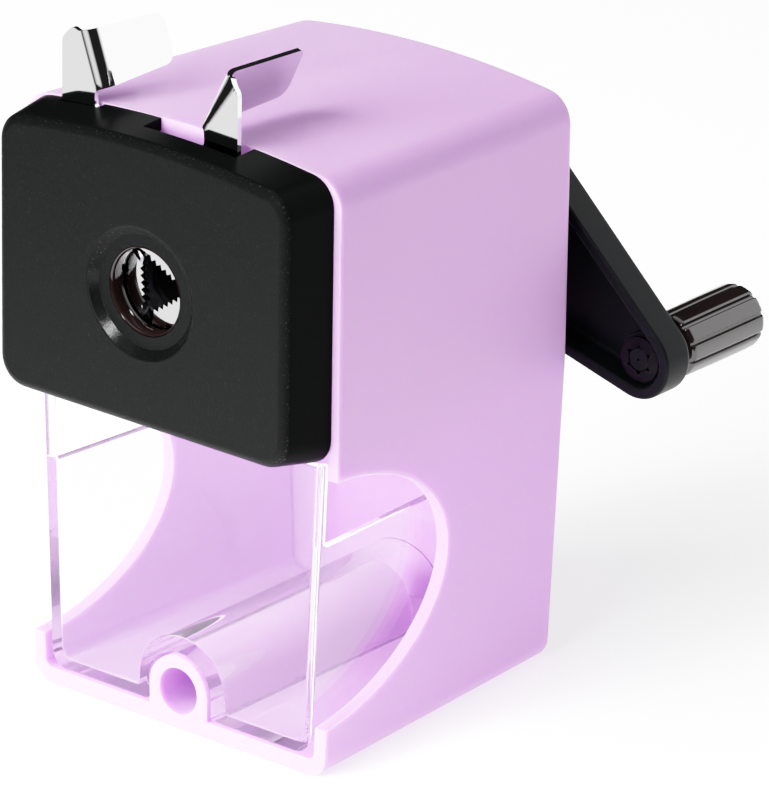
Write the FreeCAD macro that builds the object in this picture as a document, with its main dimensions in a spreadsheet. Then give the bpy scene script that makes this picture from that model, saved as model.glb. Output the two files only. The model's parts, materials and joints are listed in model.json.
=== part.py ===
"""Crank pencil sharpener, as a parametric FreeCAD document in millimetres.

The origin is the middle of the base's underside: +X right seen from the front, +Y to the back, +Z up.
The pencil axis is parallel to Y. Every size is in the spreadsheet, and each sub-part is bound to it.
"""

import FreeCAD, Part
import math
import os
import re
import Sketcher
from FreeCAD import Placement, Rotation, Vector

SIZES = {
    # housing
    "rim_y": -35.0, "back_y": 35.5, "axis_z": 87.8, "front_half": 36.8, "front_foot": 34.5,
    "back_half": 33.2, "back_foot": 30.7, "kink_z": 59.0, "front_shoulder": 114.3, "front_crown": 117.0,
    "back_shoulder": 110.8, "back_crown": 113.5, "wall": 2.4, "top_wall": 3.4, "base_floor": 3.2,
    "foot_round": 4.0, "top_round": 6.0, "back_round": 1.5, "edge_inset": 1.1, "cut_centre_y": -40.0,
    "cut_centre_z": 34.0, "cut_half_y": 39.8, "cut_half_z": 24.5, "base_trim": 0.2, "tube_radius": 6.8,
    "tube_z": 7.4, "tube_end_y": 21.0, "clamp_radius": 4.5, "clamp_depth": 52.0,
    # mechanism frame
    "frame_half": 30.2, "frame_floor_z": 61.3, "frame_floor": 2.0, "frame_front_y": -20.0,
    "frame_front": 3.0, "frame_top_z": 108.0, "frame_rear_y": 15.4, "frame_rear": 4.0,
    "frame_end_y": 33.05, "rail_height": 12.0, "chute_half": 15.0, "post_x": 23.0, "post_low_z": 70.0,
    "post_high_z": 101.0, "post_radius": 3.6, "screw_radius": 1.5, "screw_head_radius": 2.8,
    "screw_head": 1.6,
    # cutter carrier, gears and shaft
    "journal_radius": 9.0, "pencil_bore": 6.4, "disc_radius": 17.0, "front_disc_y": -14.5,
    "front_disc": 3.0, "rear_disc_y": 11.8, "rear_disc": 2.4, "arm_inner_x": 11.0, "arm_width": 4.5,
    "arm_height": 9.0, "web_radius": 9.2, "web_top": -1.4, "web_end_y": 19.8, "tilt": 10.5,
    "cutter_offset": 9.02, "cutter_radius": 6.5, "cutter_start": -9.5, "cutter_end": 9.6,
    "flute_depth": 0.7, "cutter_hub_radius": 3.2, "cutter_hub_hole": 3.5, "pin_radius": 2.0,
    "pin_start": -14.0, "pin_end": 18.9, "pinion_start": 15.6, "pinion_width": 2.8, "pinion_root": 4.1,
    "pinion_tip": 5.6, "pinion_teeth": 11, "ring_teeth": 24, "ring_tip": 10.3, "ring_root": 12.1,
    "ring_outer": 14.38, "tooth_root_half": 0.72, "tooth_tip_half": 0.36, "clip_radius": 3.0,
    "clip_thick": 0.5, "shaft_radius": 4.0, "flange_radius": 9.2, "flange_thick": 2.4, "shaft_end_y": 44.4,
    "bearing_radius": 6.5, "bearing_flange": 8.5, "bearing_start_y": 29.5, "bearing_boss": 9.0,
    "washer_radius": 7.0, "washer_y": 36.4, "washer_thick": 0.7, "gap": 0.05,
    # crank and knob
    "crank_angle": 29.75, "crank_length": 52.5, "hub_end_radius": 20.3, "knob_end_radius": 7.4,
    "crank_back_y": 46.5, "crank_depth": 7.4, "crank_web": 2.0, "crank_rim": 2.3, "hub_boss": 7.5,
    "hub_front_y": 37.2, "end_boss": 5.0, "end_boss_depth": 5.2, "crank_screw_radius": 2.0,
    "crank_head_radius": 4.6, "crank_head": 2.2, "stem_radius": 3.0, "stem_tip_radius": 2.2,
    "stem_y": 39.9, "knob_y": 48.4, "knob_end_y": 70.3, "knob_radius": 6.35, "knob_neck": 4.6,
    "knob_flutes": 9, "flute_radius": 1.5, "star_clip_radius": 4.4,
    # carriage: faceplate and guide rods
    "plate_y": -46.0, "plate_back_y": -35.0, "plate_front_half": 33.55, "plate_back_half": 35.3,
    "plate_front_low": 62.4, "plate_back_low": 60.6, "plate_front_shoulder": 113.6,
    "plate_back_shoulder": 114.2, "plate_front_crown": 116.3, "plate_back_crown": 116.9, "plate_wall": 2.4,
    "plate_round": 5.5, "plate_edge": 1.2, "plate_inset": 0.9, "mouth_radius": 12.2, "mouth_floor": 10.5,
    "mouth_depth": 1.5, "mouth_bore": 8.4, "mouth_boss": 12.6, "mouth_boss_depth": 3.5, "bezel_bore": 7.7,
    "bezel_end": 4.6, "notch_left": -4.5, "notch_right": 16.9, "notch_front": 6.0, "slot_left": -27.0,
    "slot_right": -15.4, "rod_x": 25.5, "rod_z": 72.0, "rod_radius": 2.0, "rod_start_y": -42.0,
    "rod_end_y": 14.0, "rod_boss": 4.2, "bush_radius": 3.4, "bush_flange": 4.6, "rod_clip_radius": 3.5,
    "rod_clip": 1.0, "coil_radius": 3.0, "coil_wire": 0.3, "coil_turns": 9,
    # chuck: layers are distances behind the faceplate's front
    "jaw_layer": 5.0, "jaw_thick": 1.5, "ring_layer": 7.2, "sheet": 1.0, "back_layer": 9.3,
    "chuck_radius": 15.3, "chuck_bore": 6.6, "hub_bore": 6.05, "jaw_tip": 3.3, "jaw_root": 4.1,
    "jaw_half": 4.0, "pivot_u": 5.8, "pivot_v": 10.6, "pivot_radius": 1.2, "drive_u": 10.5,
    "drive_v": -5.0, "drive_radius": 0.95, "drive_slot": 1.2, "drive_slot_length": 3.7,
    "drive_slot_angle": 127.6, "jaw_turn": 4.0, "swing_slot": 1.7, "swing_slot_angle": 37.0, "ear_x": 20.3,
    "ear_drop": 6.0, "ear_half": 3.8, "ear_boss": 3.3, "chuck_screw": 1.3, "spring_drop": 17.9,
    "spring_half": 5.0, "spring_radius": 1.15, "spring_wire": 0.2, "tab_width": 1.9,
    # levers
    "lever_outer": 26.5, "lever_base": 17.9, "lever_top": 22.0, "lever_centre": -5.1,
    "lever_foot_z": 104.0, "lever_root": 8.0, "lever_bend_z": 118.8, "lever_top_z": 130.3,
    "lever_neck": 18.8, "pad_length": 22.5, "pad_drop": 3.0, "pad_corner": 3.0, "pad_chamfer": 2.0,
    # shavings bin
    "bin_y": -34.8, "bin_end_y": 29.3, "bin_low_z": 3.6, "bin_top_z": 60.1, "bin_side_z": 44.0,
    "bin_front_low": 30.7, "bin_front_top": 32.9, "bin_back_low": 26.7, "bin_back_top": 29.3,
    "bin_wall": 1.6, "bin_floor": 1.6, "bin_bevel": 2.2, "tunnel_inner": 7.3, "tunnel_outer": 10.1,
}

doc = FreeCAD.newDocument("crank_pencil_sharpener")
sheet = doc.addObject("Spreadsheet::Sheet", "Sizes")
for row, (alias, number) in enumerate(SIZES.items(), start=1):
    sheet.set(f"A{row}", alias)
    sheet.set(f"B{row}", str(number))
    sheet.setAlias(f"B{row}", alias)
doc.recompute()

ALONG_Y = Rotation(Vector(1, 0, 0), -90)
subparts = []


# ---------------------------------------------------------------- helpers

def bound(text):
    """The expression with each size's name pointed at the sheet."""
    return re.sub(r"[a-z]\w*", lambda m: "Sizes." + m.group() if m.group() in SIZES else m.group(),
                  str(text))


def value(text):
    """The number that an expression of sizes gives."""
    return float(sheet.evalExpression(bound(text)))


def place(part, at, turn=None):
    """Binds a part's position, after an optional fixed rotation."""
    part.Placement = Placement(Vector(0, 0, 0), turn or Rotation())
    for axis, text in zip("xyz", at):
        part.setExpression("Placement.Base." + axis, bound(text))
    return part


def primitive(kind, name, at, turn=None, **sizes):
    part = doc.addObject("Part::" + kind, name)
    for key, text in sizes.items():
        part.setExpression(key, bound(text))
    return place(part, at, turn)


def rod(name, radius, start_y, end_y, x="0", z="axis_z"):
    """A cylinder parallel to Y between two Y positions."""
    return primitive("Cylinder", name, (x, start_y, z), ALONG_Y, Radius=radius,
                     Height=f"({end_y}) - ({start_y})")


def box(name, x, y, z):
    """A box between (low, high) pairs of expressions."""
    spans = {key: f"({high}) - ({low})" for key, (low, high) in zip(("Length", "Width", "Height"),
                                                                    (x, y, z))}
    return primitive("Box", name, (x[0], y[0], z[0]), **spans)


def fuse(name, *parts):
    result = doc.addObject("Part::MultiFuse", name)
    result.Shapes = list(parts)
    return result


def cut(name, base, *tools):
    result = doc.addObject("Part::Cut", name)
    result.Base = base
    result.Tool = tools[0] if len(tools) == 1 else fuse(name + "_tools", *tools)
    return result


def tube(name, radius, bore, start_y, end_y, x="0", z="axis_z"):
    hole = rod(name + "_bore", bore, f"({start_y}) - 1", f"({end_y}) + 1", x, z)
    return cut(name, rod(name + "_outside", radius, start_y, end_y, x, z), hole)


def compound(name, parts):
    group = doc.addObject("Part::Compound", name)
    group.Links = list(parts)
    return group


def keep(label, part):
    """Registers a finished sub-part under its own label."""
    part.Label = label
    subparts.append(part)
    return part


def new_body(name):
    return doc.addObject("PartDesign::Body", name)


def new_sketch(body, name, role="XZ_Plane", offset="0"):
    """A sketch on one of the body's origin planes, moved along the plane's normal."""
    plane = next(f for f in body.Origin.OriginFeatures if f.Role == role)
    sketch = body.newObject("Sketcher::SketchObject", name)
    sketch.AttachmentSupport = [(plane, "")]
    sketch.MapMode = "FlatFace"
    sketch.setExpression("AttachmentOffset.Base.z", bound(offset))
    return sketch


def pin_point(sketch, geometry, end, point):
    """Ties one end of a sketch element to the sketch's origin by two bound distances."""
    for kind, text in zip(("DistanceX", "DistanceY"), point):
        index = sketch.addConstraint(Sketcher.Constraint(kind, -1, 1, geometry, end, value(text)))
        sketch.setExpression(f"Constraints[{index}]", bound(text))


def outline(sketch, points):
    """A closed outline of straight lines through bound points."""
    corners = [Vector(value(x), value(y), 0) for x, y in points]
    first = sketch.GeometryCount
    for start, end in zip(corners, corners[1:] + corners[:1]):
        sketch.addGeometry(Part.LineSegment(start, end))
    for i in range(len(points)):
        following = (i + 1) % len(points)
        sketch.addConstraint(Sketcher.Constraint("Coincident", first + i, 2, first + following, 1))
        pin_point(sketch, first + i, 1, points[i])


def circle(sketch, radius, centre=("0", "0")):
    index = sketch.addGeometry(Part.Circle(Vector(value(centre[0]), value(centre[1]), 0), Vector(0, 0, 1),
                                           value(radius)))
    size = sketch.addConstraint(Sketcher.Constraint("Radius", index, value(radius)))
    sketch.setExpression(f"Constraints[{size}]", bound(radius))
    pin_point(sketch, index, 3, centre)


def pad(body, sketch, name, length, backwards=False):
    feature = body.newObject("PartDesign::Pad", name)
    feature.Profile = sketch
    feature.Reversed = backwards
    feature.setExpression("Length", bound(length))
    return feature


def pocket(body, sketch, name, length, backwards=False):
    feature = body.newObject("PartDesign::Pocket", name)
    feature.Profile = sketch
    feature.Reversed = backwards
    feature.setExpression("Length", bound(length))
    return feature


def polar(body, feature, name, count, role="Y_Axis"):
    axis = next(f for f in body.Origin.OriginFeatures if f.Role == role)
    pattern = body.newObject("PartDesign::PolarPattern", name)
    pattern.Originals = [feature]
    pattern.Axis = (axis, [""])
    pattern.Angle = 360
    pattern.setExpression("Occurrences", bound(count))
    body.Tip = pattern
    return pattern


def domed_section(body, name, y, low, low_half, kink, half, shoulder, crown, foot_round, top_round):
    """A cross-section at one depth: flat foot, kinked sides and a shallow domed top, with round corners."""
    sketch = new_sketch(body, name, offset=f"-({y})")
    rise = f"(({crown}) - ({shoulder}))"
    dome = f"(({half})^2 + {rise}^2) / (2 * {rise})"
    foot, corner, big = value(foot_round), value(top_round), value(dome)
    side, top, bottom = value(half), value(crown), value(low)
    kink_point, foot_point = Vector(side, value(kink), 0), Vector(value(low_half), bottom, 0)
    slope = (kink_point - foot_point).normalize()
    opening = math.pi - math.acos(slope.x)
    reach = foot / math.tan(opening / 2)
    foot_centre = Vector(foot_point.x - reach, bottom + foot, 0)
    foot_top = foot_point + slope * reach
    corner_z = top - big + math.sqrt((big - corner) ** 2 - (side - corner) ** 2)
    corner_centre = Vector(side - corner, corner_z, 0)
    lean = math.atan2(corner_z - (top - big), side - corner)

    def flipped(point):
        return Vector(-point.x, point.y, 0)

    def arc(centre, radius, start, end):
        return Part.ArcOfCircle(Part.Circle(centre, Vector(0, 0, 1), radius), start, end)

    side_top = Vector(side, corner_z, 0)
    foot_low = Vector(foot_centre.x, bottom, 0)
    foot_turn = opening - math.pi / 2
    for element in (Part.LineSegment(foot_top, kink_point),
                    Part.LineSegment(kink_point, side_top),
                    arc(corner_centre, corner, 0, lean),
                    arc(Vector(0, top - big, 0), big, lean, math.pi - lean),
                    arc(flipped(corner_centre), corner, math.pi - lean, math.pi),
                    Part.LineSegment(flipped(side_top), flipped(kink_point)),
                    Part.LineSegment(flipped(kink_point), flipped(foot_top)),
                    arc(flipped(foot_centre), foot, math.pi + math.pi / 2 - opening, 1.5 * math.pi),
                    Part.LineSegment(flipped(foot_low), foot_low),
                    arc(foot_centre, foot, -math.pi / 2, foot_turn)):
        sketch.addGeometry(element)
    for first, second in ((1, 2), (2, 3), (3, 4), (4, 5), (6, 7), (7, 8), (8, 9), (9, 0)):
        sketch.addConstraint(Sketcher.Constraint("Tangent", first, 2, second, 1))
    for first, second in ((0, 1), (5, 6)):
        sketch.addConstraint(Sketcher.Constraint("Coincident", first, 2, second, 1))
    for vertical in (1, 5):
        sketch.addConstraint(Sketcher.Constraint("Vertical", vertical))
    pin_point(sketch, 0, 2, (half, kink))
    pin_point(sketch, 6, 1, (f"-({half})", kink))
    pin_point(sketch, 3, 3, ("0", f"({crown}) - {dome}"))
    for index, text in ((2, top_round), (4, top_round), (3, dome), (7, foot_round), (9, foot_round)):
        size = sketch.addConstraint(Sketcher.Constraint("Radius", index, value(text)))
        sketch.setExpression(f"Constraints[{size}]", bound(text))
    for line, x in ((0, low_half), (6, f"-({low_half})")):
        virtual = sketch.addGeometry(Part.Point(Vector(value(x), bottom, 0)), True)
        pin_point(sketch, virtual, 1, (x, low))
        sketch.addConstraint(Sketcher.Constraint("PointOnObject", virtual, 1, line))
        sketch.addConstraint(Sketcher.Constraint("PointOnObject", virtual, 1, 8))
    return sketch


def loft(body, name, *sections, kind="AdditiveLoft"):
    """Straight walls from each section to the next."""
    feature = body.newObject("PartDesign::" + kind, name)
    feature.Profile = sections[0]
    feature.Sections = list(sections[1:])
    feature.Ruled = True
    doc.recompute()
    return feature


def turned_about_axis(part, y, angle):
    """Puts a body on the pencil axis, turned anticlockwise as seen from the front."""
    place(part, ("0", y, "axis_z"), Rotation(Vector(0, -1, 0), 1))
    part.setExpression("Placement.Rotation.Angle", bound(angle))
    return part


# ---------------------------------------------------------------- housing

def housing():
    """The moulded body: a drafted shell open at the front, its base and the clamp's socket tube."""
    body = new_body("HousingShell")
    front = domed_section(body, "FrontSection", "rim_y", "-base_trim", "front_foot", "kink_z", "front_half",
                          "front_shoulder", "front_crown", "foot_round", "top_round")
    back = domed_section(body, "BackSection", "back_y - back_round", "-base_trim", "back_foot", "kink_z",
                         "back_half", "back_shoulder", "back_crown", "foot_round", "top_round")
    end = domed_section(body, "EndSection", "back_y", "edge_inset", "back_foot - edge_inset", "kink_z",
                        "back_half - edge_inset", "back_shoulder - edge_inset", "back_crown - edge_inset",
                        "foot_round - edge_inset", "top_round - edge_inset")
    loft(body, "Outside", front, back, end)
    front = domed_section(body, "FrontCavity", "rim_y", "base_floor", "front_foot - wall", "kink_z",
                          "front_half - wall", "front_shoulder - top_wall", "front_crown - top_wall",
                          "foot_round - wall", "top_round - wall")
    back = domed_section(body, "BackCavity", "back_y - wall", "base_floor", "back_foot - wall", "kink_z",
                         "back_half - wall", "back_shoulder - top_wall", "back_crown - top_wall",
                         "foot_round - wall", "top_round - wall")
    loft(body, "Cavity", front, back, kind="SubtractiveLoft")
    window = doc.addObject("Part::Ellipse", "WindowOutline")
    window.setExpression("MajorRadius", bound("cut_half_y"))
    window.setExpression("MinorRadius", bound("cut_half_z"))
    upright = Rotation(Vector(0, 1, 0), Vector(0, 0, 1), Vector(1, 0, 0), "ZXY")
    place(window, ("0", "cut_centre_y", "cut_centre_z"), upright)
    windows = doc.addObject("Part::Extrusion", "Windows")
    windows.Base = window
    windows.DirMode = "Normal"
    windows.Symmetric = True
    windows.Solid = True
    windows.setExpression("LengthFwd", bound("3 * front_half"))
    underside = box("UndersideTrim", ("-2 * front_half", "2 * front_half"), ("rim_y - 1", "back_y + 1"),
                    ("-2 * base_trim", "0"))
    open_shell = cut("OpenShell", body, windows, underside)
    socket = rod("ClampTube", "tube_radius", "rim_y", "tube_end_y", z="tube_z")
    root = box("ClampTubeRoot", ("-tube_radius", "tube_radius"), ("rim_y", "tube_end_y"),
               ("base_floor - 1", "tube_z"))
    boss = rod("BearingBoss", "bearing_boss", "bearing_start_y", "back_y - 1")
    solid = fuse("HousingSolid", open_shell, socket, root, boss)
    tools = [rod("ClampBore", "clamp_radius", "rim_y - 1", "rim_y + clamp_depth", z="tube_z"),
             rod("BearingHole", "bearing_radius + gap", "bearing_start_y - 1", "back_y + 1")]
    for i, (x, z) in enumerate(post_places()):
        tools.append(rod(f"ScrewHole{i}", "screw_radius + 0.1", "back_y - 4", "back_y + 1", x, z))
        tools.append(rod(f"ScrewSeat{i}", "screw_head_radius + 0.2", "back_y - screw_head + 0.2",
                         "back_y + 1", x, z))
    keep("housing", cut("Housing", solid, *tools))


def post_places():
    return [(x, z) for z in ("post_low_z", "post_high_z") for x in ("-post_x", "post_x")]


# ---------------------------------------------------------------- mechanism frame

def mechanism_frame():
    """The inner frame: floor with a chute, front wall for the guides, rear wall for the ring gear."""
    half = ("-frame_half", "frame_half")
    low = "frame_floor_z"
    front = box("FrameFront", half, ("frame_front_y", "frame_front_y + frame_front"), (low, "frame_top_z"))
    rear = box("FrameRear", half, ("frame_rear_y", "frame_rear_y + frame_rear"), (low, "frame_top_z - 2"))
    floor = box("FrameFloor", half, ("frame_front_y", "frame_end_y"), (low, "frame_floor_z + frame_floor"))
    parts = [front, rear, floor]
    for side, x in (("Left", ("-frame_half", "-frame_half + 1")),
                    ("Right", ("frame_half - 1", "frame_half"))):
        parts.append(box(f"FrameRail{side}", x, ("frame_front_y", "frame_rear_y + 1"),
                         (low, "frame_floor_z + rail_height")))
    for i, (x, z) in enumerate(post_places()):
        parts.append(rod(f"FramePost{i}", "post_radius", "frame_rear_y + 1", "frame_end_y", x, z))
    chute = box("Chute", ("-chute_half", "chute_half"), ("front_disc_y", "rear_disc_y + rear_disc"),
                ("frame_floor_z - 1", "frame_floor_z + frame_floor + 1"))
    tools = [chute,
             rod("JournalHole", "journal_radius + gap", "frame_front_y - 1",
                 "frame_front_y + frame_front + 1"),
             rod("RingSeat", "ring_outer + 0.02", "frame_rear_y - 1", "frame_rear_y + frame_rear + 1")]
    for side, x in (("Left", "-rod_x"), ("Right", "rod_x")):
        tools.append(rod(f"BushHole{side}", "bush_radius + 0.02", "frame_front_y - 1",
                         "frame_front_y + frame_front + 1", x, "rod_z"))
    for i, (x, z) in enumerate(post_places()):
        tools.append(rod(f"PostHole{i}", "screw_radius + 0.02", "frame_end_y - 10", "frame_end_y + 1", x, z))
    keep("mechanism_frame", cut("MechanismFrame", fuse("FrameSolid", *parts), *tools))
    screws = []
    for i, (x, z) in enumerate(post_places()):
        shank = rod(f"FrameScrewShank{i}", "screw_radius", "frame_end_y - 8", "back_y - 1", x, z)
        head = rod(f"FrameScrewHead{i}", "screw_head_radius", "back_y - screw_head + 0.25", "back_y - 0.2",
                   x, z)
        screws.append(fuse(f"FrameScrew{i}", shank, head))
    keep("frame_screws", compound("FrameScrews", screws))


def ring_gear():
    """The fixed internal gear that turns the cutter as it is carried round."""
    body = new_body("RingGear")
    sketch = new_sketch(body, "RingOutline")
    circle(sketch, "ring_outer")
    circle(sketch, "ring_root")
    pad(body, sketch, "RingPad", "frame_rear", backwards=True)
    teeth = new_sketch(body, "RingTooth")
    half_pitch = "180 / ring_teeth"
    low, high = "ring_tip", "ring_root + 0.6"
    corners = [(low, "-tooth_tip_half"), (high, "-tooth_root_half"), (high, "tooth_root_half"),
               (low, "tooth_tip_half")]
    turn = f"(90 + {half_pitch}) * 1deg"
    outline(teeth, [(f"({u}) * cos({turn}) - ({v}) * sin({turn})",
                     f"({u}) * sin({turn}) + ({v}) * cos({turn})")
                    for u, v in corners])
    tooth = pad(body, teeth, "RingToothPad", "frame_rear", backwards=True)
    doc.recompute()
    polar(body, tooth, "RingTeeth", "ring_teeth")
    place(body, ("0", "frame_rear_y", "axis_z"))
    keep("ring_gear", body)


def bearings():
    """The rear bearing of the drive shaft and the two bushes of the guide rods."""
    sleeve = rod("BearingSleeve", "bearing_radius", "bearing_start_y", "back_y + 0.8")
    flange = rod("BearingFlange", "bearing_flange", "back_y", "back_y + 0.8")
    bore = rod("BearingBore", "shaft_radius + gap", "bearing_start_y - 1", "back_y + 2")
    keep("rear_bearing", cut("RearBearing", fuse("BearingSolid", sleeve, flange), bore))
    for side, x in (("left", "-rod_x"), ("right", "rod_x")):
        sleeve = rod(f"BushSleeve_{side}", "bush_radius", "frame_front_y - 1",
                     "frame_front_y + frame_front + 1", x, "rod_z")
        flange = rod(f"BushFlange_{side}", "bush_flange", "frame_front_y - 1", "frame_front_y", x, "rod_z")
        bore = rod(f"BushBore_{side}", "rod_radius + gap", "frame_front_y - 2",
                   "frame_front_y + frame_front + 2", x, "rod_z")
        keep(f"guide_bush_{side}", cut(f"GuideBush_{side}", fuse(f"BushSolid_{side}", sleeve, flange), bore))


# ---------------------------------------------------------------- cutter carrier and drive

def tilted(part, along):
    """Puts a part's own Z axis on the cutter's tilted axis, at a distance along it from the middle plane."""
    place(part, ("0", f"({along}) * cos(tilt * 1deg)",
                 f"axis_z + cutter_offset - ({along}) * sin(tilt * 1deg)"),
          Rotation(Vector(1, 0, 0), 1))
    part.setExpression("Placement.Rotation.Angle", bound("-90 - tilt"))
    return part


def tilted_rod(name, radius, start, end):
    part = doc.addObject("Part::Cylinder", name)
    part.setExpression("Radius", bound(radius))
    part.setExpression("Height", bound(f"({end}) - ({start})"))
    return tilted(part, start)


def cutter_carrier():
    """The cage that the crank turns: front journal and disc, two arms, rear disc and web."""
    journal = rod("Journal", "journal_radius", "frame_front_y + 0.4", "front_disc_y + 1")
    front = rod("FrontDisc", "disc_radius", "front_disc_y", "front_disc_y + front_disc")
    rear = rod("RearDisc", "disc_radius", "rear_disc_y", "rear_disc_y + rear_disc")
    web = rod("Web", "web_radius", "rear_disc_y + 1", "web_end_y")
    spare = box("WebSpare", ("-disc_radius", "disc_radius"), ("rear_disc_y + rear_disc", "web_end_y + 1"),
                ("axis_z + web_top", "axis_z + disc_radius"))
    arms = []
    for side, x in (("Left", ("-arm_inner_x - arm_width", "-arm_inner_x")),
                    ("Right", ("arm_inner_x", "arm_inner_x + arm_width"))):
        arms.append(box(f"CageArm{side}", x, ("front_disc_y + 1", "rear_disc_y + 1"),
                        ("axis_z - arm_height / 2", "axis_z + arm_height / 2")))
    solid = fuse("CarrierSolid", journal, front, rear, web, *arms)
    bore = rod("PencilBore", "pencil_bore", "frame_front_y - 1", "front_disc_y + front_disc + 1")
    pin_hole = tilted_rod("PinHole", "pin_radius + 0.02", "pin_start - 4", "0")
    hub_hole = tilted_rod("HubHole", "cutter_hub_hole", "0", "pinion_start")
    keep("cutter_carrier", cut("CutterCarrier", solid, spare, bore, pin_hole, hub_hole))


def cutter():
    """The milling cutter, its pinion, pin and clip, all on one tilted axis."""
    blank = tilted_rod("CutterBlank", "cutter_radius", "cutter_start", "cutter_end")
    hub = tilted_rod("CutterHub", "cutter_hub_radius", "cutter_end - 1", "pinion_start + pinion_width")
    bore = tilted_rod("CutterBore", "pin_radius + gap", "cutter_start - 1",
                      "pinion_start + pinion_width + 1")
    flutes = []
    for i in range(10):
        groove = doc.addObject("Part::Cylinder", f"Flute{i}")
        groove.setExpression("Radius", bound("flute_depth"))
        groove.setExpression("Height", bound("cutter_end - cutter_start + 2"))
        turn = Rotation(Vector(0, 0, 1), 36 * i)
        groove.Placement = Placement(turn.multVec(Vector(value("cutter_radius"), 0, 0)), turn)
        flutes.append(groove)
    grooves = tilted(compound("Flutes", flutes), "cutter_start - 1")
    keep("cutter", cut("Cutter", fuse("CutterSolid", blank, hub), bore, grooves))

    body = new_body("CutterPinion")
    sketch = new_sketch(body, "PinionOutline", "XY_Plane")
    circle(sketch, "pinion_root")
    circle(sketch, "cutter_hub_radius + 0.02")
    pad(body, sketch, "PinionPad", "pinion_width")
    teeth = new_sketch(body, "PinionTooth", "XY_Plane")
    outline(teeth, [("-tooth_root_half", "-(pinion_root - 0.4)"), ("-tooth_tip_half", "-pinion_tip"),
                    ("tooth_tip_half", "-pinion_tip"), ("tooth_root_half", "-(pinion_root - 0.4)")])
    tooth = pad(body, teeth, "PinionToothPad", "pinion_width")
    doc.recompute()
    polar(body, tooth, "PinionTeeth", "pinion_teeth", "Z_Axis")
    keep("cutter_pinion", tilted(body, "pinion_start"))

    keep("cutter_pin", tilted_rod("CutterPin", "pin_radius", "pin_start", "pin_end"))
    clip = tilted_rod("ClipDisc", "clip_radius", "pin_end - clip_thick", "pin_end")
    hole = tilted_rod("ClipHole", "pin_radius + 0.02", "pin_end - 2", "pin_end + 1")
    keep("cutter_clip", cut("CutterClip", clip, hole))


def drive_shaft():
    flange = rod("ShaftFlange", "flange_radius", "web_end_y", "web_end_y + flange_thick")
    shaft = rod("ShaftRod", "shaft_radius", "web_end_y", "shaft_end_y")
    thread = rod("ShaftThread", "crank_screw_radius + 0.02", "shaft_end_y - 12", "shaft_end_y + 1")
    keep("drive_shaft", cut("DriveShaft", fuse("ShaftSolid", flange, shaft), thread))
    keep("thrust_washer", tube("ThrustWasher", "washer_radius", "shaft_radius + gap", "washer_y",
                               "washer_y + washer_thick"))


# ---------------------------------------------------------------- crank and knob

def tapered_outline(sketch, hub, end, length):
    """Two arcs joined by their common tangents, the hub's centre at the origin and the end's on +X."""
    big, small, span = value(hub), value(end), value(length)
    tilt = math.asin((big - small) / span)
    lift = math.pi / 2 - tilt
    up = Vector(math.sin(tilt), math.cos(tilt), 0)
    down = Vector(math.sin(tilt), -math.cos(tilt), 0)
    centre = Vector(span, 0, 0)
    normal = Vector(0, 0, 1)
    sketch.addGeometry(Part.ArcOfCircle(Part.Circle(Vector(0, 0, 0), normal, big), lift, 2 * math.pi - lift))
    sketch.addGeometry(Part.LineSegment(down * big, centre + down * small))
    sketch.addGeometry(Part.ArcOfCircle(Part.Circle(centre, normal, small), -lift, lift))
    sketch.addGeometry(Part.LineSegment(centre + up * small, up * big))
    for first, end_1, second, end_2 in ((0, 2, 1, 1), (1, 2, 2, 1), (2, 2, 3, 1), (3, 2, 0, 1)):
        sketch.addConstraint(Sketcher.Constraint("Tangent", first, end_1, second, end_2))
    pin_point(sketch, 0, 3, ("0", "0"))
    pin_point(sketch, 2, 3, (length, "0"))
    for index, text in ((0, hub), (2, end)):
        size = sketch.addConstraint(Sketcher.Constraint("Radius", index, value(text)))
        sketch.setExpression(f"Constraints[{size}]", bound(text))


def crank_arm():
    """The tapered arm, hollow on the side that faces the housing, with bosses for the shaft and the knob."""
    body = new_body("CrankArm")
    sketch = new_sketch(body, "ArmOutline")
    tapered_outline(sketch, "hub_end_radius", "knob_end_radius", "crank_length")
    pad(body, sketch, "ArmPad", "crank_depth")
    doc.recompute()
    sketch = new_sketch(body, "ArmRecess", offset="crank_depth")
    tapered_outline(sketch, "hub_end_radius - crank_rim", "knob_end_radius - crank_rim", "crank_length")
    pocket(body, sketch, "ArmPocket", "crank_depth - crank_web")
    sketch = new_sketch(body, "HubBossOutline")
    circle(sketch, "hub_boss")
    pad(body, sketch, "HubBoss", "crank_back_y - hub_front_y")
    sketch = new_sketch(body, "EndBossOutline")
    circle(sketch, "end_boss", ("crank_length", "0"))
    pad(body, sketch, "EndBoss", "end_boss_depth")
    doc.recompute()
    sketch = new_sketch(body, "ShaftBoreOutline", offset="crank_back_y - hub_front_y")
    circle(sketch, "shaft_radius + 0.02")
    pocket(body, sketch, "ShaftBore", "shaft_end_y - hub_front_y + 0.1")
    sketch = new_sketch(body, "ScrewBoreOutline", offset="crank_back_y - hub_front_y")
    circle(sketch, "crank_screw_radius + 0.1")
    pocket(body, sketch, "ScrewBore", "crank_back_y - hub_front_y + 1")
    sketch = new_sketch(body, "StemBoreOutline", offset="crank_depth + 1")
    circle(sketch, "stem_radius + gap", ("crank_length", "0"))
    pocket(body, sketch, "StemBore", "crank_depth + 2")
    doc.recompute()
    place(body, ("0", "crank_back_y", "axis_z"), Rotation(Vector(0, 1, 0), 1))
    body.setExpression("Placement.Rotation.Angle", bound("crank_angle"))
    keep("crank_arm", body)
    shank = rod("CrankScrewShank", "crank_screw_radius", "shaft_end_y - 10", "crank_back_y + 0.1")
    head = rod("CrankScrewHead", "crank_head_radius", "crank_back_y + 0.05", "crank_back_y + crank_head")
    keep("crank_screw", fuse("CrankScrew", shank, head))


KNOB_X = "crank_length * cos(crank_angle * 1deg)"
KNOB_Z = "axis_z - crank_length * sin(crank_angle * 1deg)"


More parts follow.
